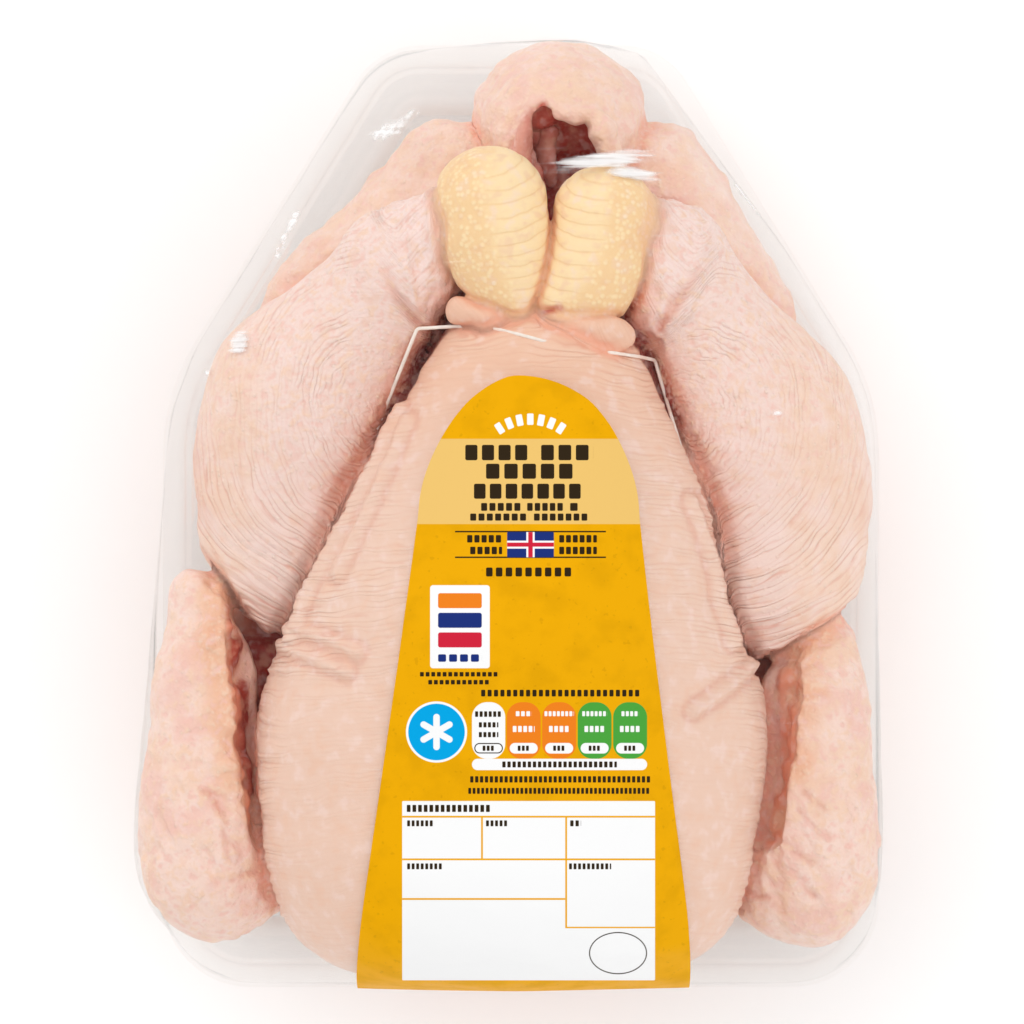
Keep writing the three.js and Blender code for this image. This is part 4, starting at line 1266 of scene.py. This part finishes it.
def film_planes():
    """The flat faces of the tight skin round the CAD film and the bird: unit normals, offsets."""
    spots = mesh_points(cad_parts["film"].data)
    hull = bmesh.new()
    for spot in np.unique(np.round(spots[spots[:, 2] >= RIM], 3), axis=0):
        hull.verts.new(spot)
    bmesh.ops.convex_hull(hull, input=hull.verts)
    bmesh.ops.recalc_face_normals(hull, faces=hull.faces)
    normals = np.array([f.normal for f in hull.faces])
    offsets = np.array([f.normal.dot(f.verts[0].co) for f in hull.faces])
    hull.free()
    keep = np.unique(np.round(np.column_stack([normals, offsets]), 3), axis=0, return_index=True)[1]
    normals, offsets = normals[keep], offsets[keep]
    bird = bpy.data.objects.get("chicken_skin")
    if bird:
        skin = mesh_points(bird.data)
        skin = skin[skin[:, 2] > RIM]
        reach = np.concatenate([(skin @ block.T).max(0) for block in np.array_split(normals, 20)])
        offsets = np.maximum(offsets, reach + FILM_CLEAR)
    return normals, offsets


def leave(planes, start, direction, out=0.0, soft=12.0):
    """Where rays from inside leave the skin, its ridges eased; a higher soft eases them less."""
    normals, offsets = planes
    ends = []
    for i in range(0, len(direction), 4000):
        o = start[i:i + 4000]
        d = direction[i:i + 4000]
        facing = d @ normals.T
        reach = np.where(facing > 1e-4, (offsets + out - o @ normals.T) / np.maximum(facing, 1e-4), 1e4)
        near = reach.min(1, keepdims=True)
        eased = near[:, 0] - np.log(np.exp(-soft * np.minimum(reach - near, 20)).sum(1)) / soft
        ends.append(o + d * eased[:, None])
    return np.concatenate(ends)


# Painted glare on the film, in plan: x, y, half length, half width, turn.
PAINTED_GLARE = (
    (-73.5, 45.5, 4.2, 3.4, 55), (-60, 77.5, 4.6, 1.2, 62), (-62.4, 73, 1.8, 1.2, 20),
    (-63.6, 69.2, 1.6, 1.2, 30), (-35, 101, 6.0, 2.2, 14), (-28, 105.6, 4.2, 1, 34),
    (-82, 38, 1.2, 1.2, 0), (21, 92, 17, 3.0, 9), (29, 88.6, 9, 2.4, -8),
    (66.4, 27, 1.6, 1, 50), (60, 84, 9, 0.8, -52),
)


def painted_glare(p):
    """How strongly glare is painted on the film at each point: soft patches, which the material breaks into
    white streaks.
    """
    white = np.zeros(len(p), np.float32)
    for x, y, half, width, turn in PAINTED_GLARE:
        c = math.cos(math.radians(turn))
        s = math.sin(math.radians(turn))
        dx, dy = p[:, 0] - x, p[:, 1] - y
        u = (dx * c + dy * s) / half
        v = (dy * c - dx * s) / width
        white = np.maximum(white, step_up(1.2 - np.hypot(u, v), 0.0, 0.9))
    return white * (p[:, 2] > RIM + 2)


class CHICKEN_OT_film(Operator):
    """Stretch the clear film from the rim over everything that stands above it"""

    bl_idname = "chicken.film"
    bl_label = "Film"

    def execute(self, context):
        settings = context.scene.chicken_pack
        planes = film_planes()
        around, rows = ((360, 120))
        azimuth = np.arange(around) * 2 * math.pi / around
        rise = np.sin(np.linspace(0, 1, rows, endpoint=False) * math.pi / 2) * math.pi / 2
        a, e = np.meshgrid(azimuth, rise)
        aim = np.stack([np.cos(e) * np.cos(a), np.cos(e) * np.sin(a), np.sin(e)], -1).reshape(-1, 3)
        aim = np.concatenate([aim, [(0, 0, 1)]])
        outer = leave(planes, np.repeat([FILM_MIDDLE], len(aim), 0), aim)
        lines = np.stack([a.ravel() * PULL_LINES[0], e.ravel() * PULL_LINES[1], 0 * a.ravel()], 1)
        lines = np.concatenate([lines, [(0, 0, 0)]])
        # The pull lines fade at the rim and over the top.
        pull = noise(lines.astype(np.float32), 1, 41) * settings.film_wrinkle
        pull *= step_up(aim[:, 2], 0.01, 0.12) * (1 - step_up(aim[:, 2], 0.25, 0.8))
        outer = outer - aim * np.maximum(pull, 0)[:, None]
        inner = outer - aim * settings.film_sheet
        film = mesh_object("film_clear", np.concatenate([outer, inner]), shell_faces(around, rows))
        # Painted glare on the film, as white streaks
        add_attribute(film.data, "white", painted_glare(mesh_points(film.data)))
        finish = clear_material("clear film", settings, 0.0, 1.18, glare="white")
        finish_piece(film, "film", "clear_film", finish)
        return {"FINISHED"}


def shell_faces(around, rows):
    """Triangles of a domed shell: outer and inner skins, each with a pole, joined at the rim."""
    faces = []
    count = around * rows + 1
    for i in range(around):
        j = (i + 1) % around
        for r in range(rows - 1):
            a, b = r * around + i, r * around + j
            c, d = b + around, a + around
            faces += [(a, b, c), (a, c, d)]
            faces += [(count + a, count + c, count + b), (count + a, count + d, count + c)]
        a, b, pole = (rows - 1) * around + i, (rows - 1) * around + j, count - 1
        faces += [(a, b, pole), (count + a, count + pole, count + b)]
        faces += [(i, count + j, j), (i, count + i, count + j)]
    return faces


# ---- the label -----------------------------------------------------------------------------

LABEL_TIP_Y = 35.2
LABEL_SHOULDER_Y = 6
LABEL_SHOULDER_HALF = 28.2
LABEL_FOOT_Y = -124
LABEL_FOOT_HALF = 43.6
LABEL_FOOT_Z = 43.6
LABEL_CENTRE = (2.2, 0.6)
LABEL_PIVOT = (0, -60, RIM)
LABEL_LIFT = 0.25  # how far the label's underside lies above the film
TIP_ROWS = 30
PRINT_EYE = (*EYE_SHIFT, RIM + EYE_DISTANCE)  # the print looks flat from the camera's place

# The print's plain shapes: ink, left, right, bottom, top and corner radius.
BLOCKS = (
    ("pale", -60, 60, -2.1, 20.5, 0), ("dark", 13.0, 15.0, 1.4, 3.5, 0.3),
    ("dark", -17.5, 22.5, -4.3, -3.9, 0), ("dark", -17.5, 22.5, -11.1, -10.7, 0),
    ("navy", -3.7, 8.7, -10.9, -4.2, 0.3), ("white", 1.4, 3.6, -10.9, -4.2, 0),
    ("white", -3.7, 8.7, -8.6, -6.5, 0), ("red", 1.9, 3.1, -10.9, -4.2, 0),
    ("red", -3.7, 8.7, -8.1, -7.0, 0), ("white", -24.1, -8.3, -40.3, -18.3, 0.8),
    ("orange", -22.0, -10.4, -24.4, -20.4, 0.6), ("navy", -22.0, -10.4, -29.6, -25.6, 0.6),
    ("red", -22.0, -10.4, -34.8, -30.8, 0.6), ("white", -13.0, -4.2, -64.3, -49.3, 4.0),
    ("orange", -3.8, 5.2, -64.3, -49.3, 4.0), ("orange", 5.6, 14.6, -64.3, -49.3, 4.0),
    ("green", 15.0, 24.0, -64.3, -49.3, 4.0), ("green", 24.4, 33.4, -64.3, -49.3, 4.0),
    ("dark", -12.4, -4.8, -62.9, -60.1, 1.4), ("white", -12.1, -5.1, -62.6, -60.4, 1.1),
    ("white", -3.0, 4.4, -62.9, -60.1, 1.4), ("white", 6.4, 13.8, -62.9, -60.1, 1.4),
    ("white", 15.8, 23.2, -62.9, -60.1, 1.4), ("white", 25.2, 32.6, -62.9, -60.1, 1.4),
    ("white", -13.0, 33.4, -67.3, -64.3, 1.5), ("white", -31.5, 35.5, -123.0, -75.5, 0.3),
    ("mustard", -31.5, 35.5, -79.9, -79.4, 0), ("mustard", -31.5, 35.5, -91.2, -90.7, 0),
    ("mustard", -31.5, 11.7, -101.7, -101.2, 0), ("mustard", 11.7, 35.5, -109.2, -108.8, 0),
    ("mustard", -10.6, -10.1, -90.9, -79.7, 0), ("mustard", 11.7, 12.2, -108.9, -79.7, 0),
)
# Rows of small blocks laid over them, by ink: their left, right, bottom, top, corner radius, pitch
# and how much of it each fills.
ROWS = {
    "dark": (
        (-14.8, 2.7, 14.8, 18.9, 0.5, 4.4, 0.74), (5.3, 19.1, 14.8, 18.9, 0.5, 4.6, 0.74),
        (-9.3, 14.8, 9.9, 13.9, 0.5, 4.84, 0.74), (-12.5, 16.7, 4.6, 8.6, 0.5, 4.2, 0.74),
        (-10.6, 0.3, 1.4, 3.5, 0.3, 2.2, 0.74), (1.6, 11.4, 1.4, 3.5, 0.3, 2.0, 0.74),
        (-13.5, 1.9, -1.2, 0.7, 0.3, 2.2, 0.74), (3.4, 18.0, -1.2, 0.7, 0.3, 2.1, 0.74),
        (-14.3, -5.0, -7.0, -5.0, 0.3, 1.9, 0.74), (-13.5, -5.0, -10.1, -8.1, 0.3, 1.9, 0.74),
        (10.1, 20.1, -7.0, -5.0, 0.3, 1.8, 0.74), (10.1, 20.1, -10.1, -8.1, 0.3, 1.8, 0.74),
        (-9.3, 14.0, -16.0, -13.6, 0.4, 2.6, 0.68), (-26.8, -6.1, -42.5, -41.3, 0.2, 1.5, 0.7),
        (-24.6, -8.2, -44.6, -43.4, 0.2, 1.5, 0.7), (-10.6, 31.5, -47.8, -46.0, 0.3, 1.7, 0.66),
        (-12.2, -5.0, -53.2, -51.7, 0.2, 1.2, 0.7), (-11.2, -6.0, -56.0, -54.6, 0.2, 1.2, 0.7),
        (-11.2, -6.0, -58.6, -57.2, 0.2, 1.2, 0.7), (-10.2, -7.0, -62.2, -60.8, 0.2, 1.1, 0.7),
        (-0.9, 2.3, -62.2, -60.8, 0.2, 1.1, 0.7), (8.5, 11.7, -62.2, -60.8, 0.2, 1.1, 0.7),
        (17.9, 21.1, -62.2, -60.8, 0.2, 1.1, 0.7), (27.3, 30.5, -62.2, -60.8, 0.2, 1.1, 0.7),
        (-5.0, 25.4, -66.6, -65.0, 0.2, 1.35, 0.68), (-13.5, 34.2, -70.6, -68.9, 0.2, 1.3, 0.68),
        (-14.0, 34.2, -73.6, -72.0, 0.2, 1.15, 0.68), (-30.3, -7.9, -78.4, -76.5, 0.2, 1.5, 0.68),
        (-30.2, -23.1, -82.2, -80.6, 0.2, 1.2, 0.66), (-9.3, -3.4, -82.2, -80.6, 0.2, 1.2, 0.66),
        (13.0, 15.9, -82.2, -80.6, 0.2, 1.4, 0.66), (-30.2, -20.7, -93.6, -92.0, 0.2, 1.2, 0.66),
        (12.7, 23.9, -93.6, -92.0, 0.2, 1.2, 0.66),
    ),
    "white": (
        (-1.4, 2.8, -53.0, -51.7, 0.2, 1.4, 0.7), (-2.2, 3.6, -57.2, -55.6, 0.2, 1.4, 0.7),
        (6.2, 14.0, -53.0, -51.7, 0.2, 1.1, 0.7), (7.4, 12.8, -57.2, -55.6, 0.2, 1.4, 0.7),
        (16.2, 22.8, -53.0, -51.7, 0.2, 1.1, 0.7), (16.8, 22.2, -57.2, -55.6, 0.2, 1.4, 0.7),
        (26.6, 31.2, -53.0, -51.7, 0.2, 1.15, 0.7), (26.2, 31.6, -57.2, -55.6, 0.2, 1.4, 0.7),
    ),
    "navy": (
        (-22.0, -10.4, -38.6, -36.6, 0.4, 2.9, 0.74),
    ),
}
# Ovals: ink, centre x, centre y, half width, half height.
OVALS = (
    ("white", -22.4, -57.2, 8.1, 8.1), ("blue", -22.4, -57.2, 7.5, 7.5),
    ("dark", 25.7, -115.8, 7.7, 5.6), ("white", 25.7, -115.8, 7.4, 5.3),
)
STAR = ("white", -22.4, -57.2, 4.8, 0.85)
# A row of blocks on an arc: ink, the arc's centre and radius, half width, half height, turn, count.
ARCH = ("white", 2.45, 10.8, 14.9, 0.85, 1.5, 11, 7)

# Heights between which the label's print changes, each stretch with a material of its own.
STRETCHES = (60, 21.9, 4.2, -17.2, -48.2, -68.2, -84, -140)
SHAPE_SOFT = 0.12  # how wide the edges of the print are
NO_RADIUS = 0.1  # corners that look square


def box_beyond(tree, spot, middle, half):
    """How far a spot lies beyond a box, along each axis."""
    away = vectors(tree, "ABSOLUTE", vectors(tree, "SUBTRACT", spot, middle))
    return vectors(tree, "SUBTRACT", away, half)


SHAPE_SOCKETS = {"Colour": "Color", "Ink": "Color", "Spot": "Vector", "Middle": "Vector", "Half": "Vector"}


def lay_shape(tree, inp, out, beyond):
    """Ink a rounded shape, from how far each spot lies beyond the shape's core."""
    outside = vectors(tree, "MAXIMUM", beyond, (0, 0, 0))
    away = vectors(tree, "LENGTH", outside, output="Value")
    away = maths(tree, "SUBTRACT", away, inp["Radius"])
    cover = maths(tree, "MULTIPLY_ADD", away, -1 / SHAPE_SOFT, 0.5, clamp=True)
    tree.links.new(mixed(tree, cover, inp["Colour"], inp["Ink"]), out["Colour"])
    return tree


def print_block_group():
    """A rounded rectangle laid over a colour."""
    tree, inp, out = group("Print Block", {**SHAPE_SOCKETS, "Radius": "Float"}, {"Colour": "Color"})
    return lay_shape(tree, inp, out, box_beyond(tree, inp["Spot"], inp["Middle"], inp["Half"]))


def print_row_group():
    """A row of small rounded blocks laid over a colour."""
    tree, inp, out = group("Print Row", {
        **SHAPE_SOCKETS, "Radius": "Float", "Start": "Float", "Next": "Float",
        "Row Middle": "Vector", "Row Half": "Vector",
    }, {"Colour": "Color"})
    split = put(tree, "ShaderNodeSeparateXYZ", {0: inp["Spot"]}).outputs
    x = maths(tree, "WRAP", split["X"], inp["Next"], inp["Start"])
    folded = put(tree, "ShaderNodeCombineXYZ", {0: x, 1: split["Y"]}).outputs[0]
    block = box_beyond(tree, folded, inp["Middle"], inp["Half"])
    row = box_beyond(tree, inp["Spot"], inp["Row Middle"], inp["Row Half"])
    return lay_shape(tree, inp, out, vectors(tree, "MAXIMUM", block, row))


def print_oval_group():
    """An oval laid over a colour."""
    tree, inp, out = group("Print Oval", {**SHAPE_SOCKETS, "Sharp": "Float"}, {"Colour": "Color"})
    away = vectors(tree, "SUBTRACT", inp["Spot"], inp["Middle"])
    away = vectors(tree, "LENGTH", vectors(tree, "DIVIDE", away, inp["Half"]), output="Value")
    inside = maths(tree, "SUBTRACT", 1.0, away)
    cover = maths(tree, "MULTIPLY_ADD", inside, inp["Sharp"], 0.5, clamp=True)
    tree.links.new(mixed(tree, cover, inp["Colour"], inp["Ink"]), out["Colour"])
    return tree


def box_values(left, right, bottom, top, radius):
    """A rounded rectangle's middle, half its core's sizes, and its corner radius."""
    return {
        "Middle": ((left + right) / 2, (bottom + top) / 2, 0), "Radius": radius,
        "Half": ((right - left) / 2 - radius, (top - bottom) / 2 - radius, 1),
    }


def print_layers():
    """Every shape of the print in order: its lowest and highest y, its kind, ink and values."""
    for ink, left, right, bottom, top, radius in BLOCKS:
        values = box_values(left, right, bottom, top, max(radius, NO_RADIUS))
        yield bottom, top, "block", ink, values
    for ink, rows in ROWS.items():
        for left, right, bottom, top, radius, pitch, fill in rows:
            values = box_values(left, left + pitch * fill, bottom, top, radius)
            values |= {
                "Start": left, "Next": left + pitch, "Row Middle": ((left + right) / 2, 0, 0),
                "Row Half": ((right - left) / 2 - radius, 1000, 1),
            }
            yield bottom, top, "row", ink, values
    for ink, x, y, wide, tall in OVALS:
        values = {"Middle": (x, y, 0), "Half": (wide, tall, 1), "Sharp": tall / SHAPE_SOFT}
        yield y - tall, y + tall, "oval", ink, values
    ink, x, y, reach, half = STAR
    for turn in (30, 90, 150):
        values = {"Middle": (x, y, 0), "Half": (reach - half, 0, 1), "Radius": half, "Turn": turn}
        yield y - reach, y + reach, "block", ink, values
    ink, x, y, radius, half, tall, turn, count = ARCH
    for i in range(count):
        values = {
            "Middle": (x, y + radius, 0), "Half": (half - 0.3, tall - 0.3, 1), "Radius": 0.3,
            "Turn": turn * (i - (count - 1) / 2), "About": (x, y, 0),
        }
        yield y + radius - 4, y + radius + tall, "block", ink, values


def label_material(settings, groups, number, low, high):
    """The label's paper and the part of its print that lies between two heights."""
    finish, tree, paper = material(f"mustard label {number}")
    flat = attribute(tree, "print", "Vector")
    place = own_place(tree)
    cloud = clouds(tree, place, 130.0, 4.0)
    speck = clouds(tree, place, 700.0, 1.0)
    ground = np.array(settings.mustard)
    colour = (*ground, 1)
    for share, darker in (
        (ranged(tree, cloud, 0.42, 0.72, 0.0, 0.7), 0.86), (ranged(tree, speck, 0.66, 0.74, 0.0, 0.3), 0.6),
    ):
        colour = mixed(tree, share, colour, (*(ground * darker), 1))
    for bottom, top, kind, ink, values in print_layers():
        if top < low - 2 or bottom > high + 2:
            continue
        spot = flat
        if "Turn" in values:
            turn = {
                "Vector": flat, "Center": values.pop("About", values["Middle"]),
                "Angle": math.radians(values.pop("Turn")),
            }
            spot = put(tree, "ShaderNodeVectorRotate", turn, rotation_type="Z_AXIS").outputs[0]
        sockets = {"Colour": colour, "Ink": (*getattr(settings, ink), 1), "Spot": spot, **values}
        colour = put(tree, "ShaderNodeGroup", sockets, node_tree=groups[kind]).outputs["Colour"]
    tree.links.new(colour, paper.inputs["Base Color"])
    tree.links.new(ranged(tree, cloud, 0.3, 0.7, 0.42, 0.56), paper.inputs["Roughness"])
    paper.inputs["Specular IOR Level"].default_value = 0.04
    add_bump(tree, paper, cloud, 0.0003, 0.25)
    return finish


def label_half_width(y):
    """Half the label's width: an arch at its tip, then straight flaring sides."""
    up = np.clip((y - LABEL_SHOULDER_Y) / (LABEL_TIP_Y - LABEL_SHOULDER_Y), 0, 1)
    down = np.clip((LABEL_SHOULDER_Y - y) / (LABEL_SHOULDER_Y - LABEL_FOOT_Y), 0, 1)
    arch = LABEL_SHOULDER_HALF * np.sqrt(np.maximum(1 - up * up, 0.002))
    flare = LABEL_SHOULDER_HALF + (LABEL_FOOT_HALF - LABEL_SHOULDER_HALF) * down
    return np.where(y > LABEL_SHOULDER_Y, arch, flare)


def label_angles(planes, rows):
    """Angles of the label's rows, seen from inside the bird: an arched tip, then a long fall."""
    sweep = np.radians(np.linspace(2.6, 88, TIP_ROWS))
    arch = LABEL_SHOULDER_Y + (LABEL_TIP_Y - LABEL_SHOULDER_Y) * np.cos(sweep)
    start = np.stack([np.full(TIP_ROWS, LABEL_CENTRE[0]), arch, np.full(TIP_ROWS, RIM)], 1)
    top = leave(planes, start, np.repeat([(0.0, 0.0, 1.0)], TIP_ROWS, 0))
    tip = np.arctan2(top[:, 2] - LABEL_PIVOT[2], top[:, 1] - LABEL_PIVOT[1])
    foot = math.pi - math.atan2(LABEL_FOOT_Z - LABEL_PIVOT[2], LABEL_PIVOT[1] - LABEL_FOOT_Y)
    return np.concatenate([tip, np.linspace(tip[-1], foot, rows + 1)[1:]])


class CHICKEN_OT_label(Operator):
    """Lay the label on the film, from its arched tip down to the rim"""

    bl_idname = "chicken.label"
    bl_label = "Label"

    def execute(self, context):
        settings = context.scene.chicken_label
        planes = film_planes()
        columns = 48
        angles = label_angles(planes, 110)
        aim = np.stack([np.zeros(len(angles)), np.cos(angles), np.sin(angles)], 1)
        pivot = np.array(LABEL_PIVOT, float)
        middle = leave(planes, np.repeat([pivot + (LABEL_CENTRE[0], 0, 0)], len(aim), 0), aim)
        run = (LABEL_TIP_Y - middle[:, 1]) / (LABEL_TIP_Y - LABEL_FOOT_Y)
        centre = LABEL_CENTRE[0] + (LABEL_CENTRE[1] - LABEL_CENTRE[0]) * run
        across = np.linspace(-1, 1, columns + 1)
        x = centre[:, None] + label_half_width(middle[:, 1])[:, None] * across
        start = np.stack([x, np.full_like(x, pivot[1]), np.full_like(x, pivot[2])], -1).reshape(-1, 3)
        aims = np.repeat(aim, columns + 1, 0)
        lower = leave(planes, start, aims, LABEL_LIFT)
        upper = leave(planes, start, aims, LABEL_LIFT + settings.sheet)
        faces = sheet_faces(len(angles), columns + 1)
        label = mesh_object("label_sheet", np.concatenate([lower, upper]), faces)
        label.data.set_sharp_from_angle(angle=math.radians(60))
        p = mesh_points(label.data)
        spread = (PRINT_EYE[2] - RIM) / (PRINT_EYE[2] - p[:, 2:3])
        eye = np.array(PRINT_EYE[:2])
        flat = eye + (p[:, :2] - eye) * spread
        add_attribute(label.data, "print", np.column_stack([flat, np.zeros(len(p))]))
        groups = {"block": print_block_group(), "row": print_row_group(), "oval": print_oval_group()}
        stretches = list(zip(STRETCHES[1:], STRETCHES[:-1]))
        finishes = [label_material(settings, groups, i + 1, *span) for i, span in enumerate(stretches)]
        finish_piece(label, "label", "label", *finishes)
        corners = np.array([f.vertices[:] for f in label.data.polygons])
        height = flat[corners, 1].mean(1)
        stretch = np.searchsorted(-np.array(STRETCHES[1:-1]), -height)
        label.data.polygons.foreach_set("material_index", stretch.astype(np.int32))
        return {"FINISHED"}


def sheet_faces(rows, columns):
    """Triangles of a thin sheet: its lower and upper faces and the strip round its edge."""
    top = rows * columns
    faces = []
    for r in range(rows - 1):
        for c in range(columns - 1):
            a = r * columns + c
            b, d, e = a + 1, a + columns, a + columns + 1
            faces += [(a, b, e), (a, e, d), (top + a, top + e, top + b), (top + a, top + d, top + e)]
    edge = list(range(columns))
    edge += [r * columns + columns - 1 for r in range(1, rows)]
    edge += [(rows - 1) * columns + c for c in range(columns - 2, -1, -1)]
    edge += [r * columns for r in range(rows - 2, 0, -1)]
    for a, b in zip(edge, edge[1:] + edge[:1]):
        faces += [(a, top + b, b), (a, top + a, top + b)]
    return faces


# ---- the stage -----------------------------------------------------------------------------

FRAME_WIDTH = 1024 * 0.265  # what the frame spans at the rim's height
FLOOR_REACH = 3000
FLOOR_GLOW = 0.06  # lifts the floor to the surroundings' white
KEY_FROM = (-0.9, 1.0, 1.2)
FILL_FROM = (1.1, -0.5, 1.2)
PATCH_WIDTH = 60  # degrees from a soft light's middle to its edge


def soft_light(tree, aim, power, light):
    """Light added over a wide soft patch of the surroundings, brightest at a direction."""
    ray = put(tree, "ShaderNodeTexCoord").outputs["Generated"]
    facing = vectors(tree, "DOT_PRODUCT", ray, Vector(aim).normalized(), output="Value")
    patch = ranged(tree, facing, math.cos(math.radians(PATCH_WIDTH)), 1.0)
    return maths(tree, "MULTIPLY_ADD", patch, power, light)


class CHICKEN_OT_stage(Operator):
    """Set the pale floor, the soft lights and the camera that looks straight down"""

    bl_idname = "chicken.stage"
    bl_label = "Stage"

    def execute(self, context):
        scene = context.scene
        settings = scene.chicken_stage
        corners = [(FLOOR_REACH * x, FLOOR_REACH * y, 0) for x, y in ((-1, -1), (1, -1), (1, 1), (-1, 1))]
        floor = mesh_object("floor", corners, [(0, 1, 2, 3)], smooth=False)
        finish, tree, paint = material("pale floor")
        cloud = clouds(tree, own_place(tree), 3.0)
        pale = np.array(settings.floor)
        tree.links.new(mixed(tree, cloud, (*pale, 1), (*(pale * 0.99), 1)), paint.inputs["Base Color"])
        paint.inputs["Roughness"].default_value = 0.9
        paint.inputs["Emission Color"].default_value = (1, 1, 1, 1)
        paint.inputs["Emission Strength"].default_value = FLOOR_GLOW
        floor.data.materials.append(finish)

        world = bpy.data.worlds.new("white surroundings")
        world.use_nodes = True
        world.cycles.sampling_method = "NONE"
        tree = world.node_tree
        light = soft_light(tree, KEY_FROM, settings.key, settings.ambient)
        light = soft_light(tree, FILL_FROM, settings.fill, light)
        tree.nodes["Background"].inputs["Color"].default_value = (1, 1, 1, 1)
        tree.links.new(light, tree.nodes["Background"].inputs["Strength"])
        scene.world = world

        lens = bpy.data.cameras.new("camera")
        lens.sensor_width = 36
        lens.lens = lens.sensor_width * EYE_DISTANCE / FRAME_WIDTH
        lens.clip_end = 10
        camera = bpy.data.objects.new("camera", lens)
        camera.location = (EYE_SHIFT[0] * MM, EYE_SHIFT[1] * MM, (RIM + EYE_DISTANCE) * MM)
        scene.collection.objects.link(camera)
        scene.camera = camera
        scene.view_settings.view_transform = "Standard"
        return {"FINISHED"}


# ---- the add-on ----------------------------------------------------------------------------

STEPS = (CHICKEN_OT_stage, CHICKEN_OT_bird, CHICKEN_OT_leg_tie, CHICKEN_OT_tray, CHICKEN_OT_film,
         CHICKEN_OT_label)
GROUPS = {
    "chicken_bird": BirdSettings,
    "chicken_pack": PackSettings,
    "chicken_label": LabelSettings,
    "chicken_stage": StageSettings,
}


class CHICKEN_PT_panel(Panel):
    """Sizes, colours and a button for each piece of the pack"""

    bl_idname = "CHICKEN_PT_panel"
    bl_label = "Chicken Pack"
    bl_space_type = "VIEW_3D"
    bl_region_type = "UI"
    bl_category = "Chicken Pack"

    def draw(self, context):
        for name, settings in GROUPS.items():
            box = self.layout.box()
            for key in settings.__annotations__:
                box.prop(getattr(context.scene, name), key)
        for step in STEPS:
            self.layout.operator(step.bl_idname)


CLASSES = (*GROUPS.values(), *STEPS, CHICKEN_PT_panel)


def register():
    for cls in CLASSES:
        bpy.utils.register_class(cls)
    for name, settings in GROUPS.items():
        setattr(bpy.types.Scene, name, PointerProperty(type=settings))


def unregister():
    for name in GROUPS:
        delattr(bpy.types.Scene, name)
    for cls in reversed(CLASSES):
        bpy.utils.unregister_class(cls)


def main():
    register()
    bpy.ops.chicken.stage()
    bpy.ops.chicken.bird()
    bpy.ops.chicken.leg_tie()
    bpy.ops.chicken.tray()
    bpy.ops.chicken.film()
    bpy.ops.chicken.label()


if __name__ == "__main__":
    main()
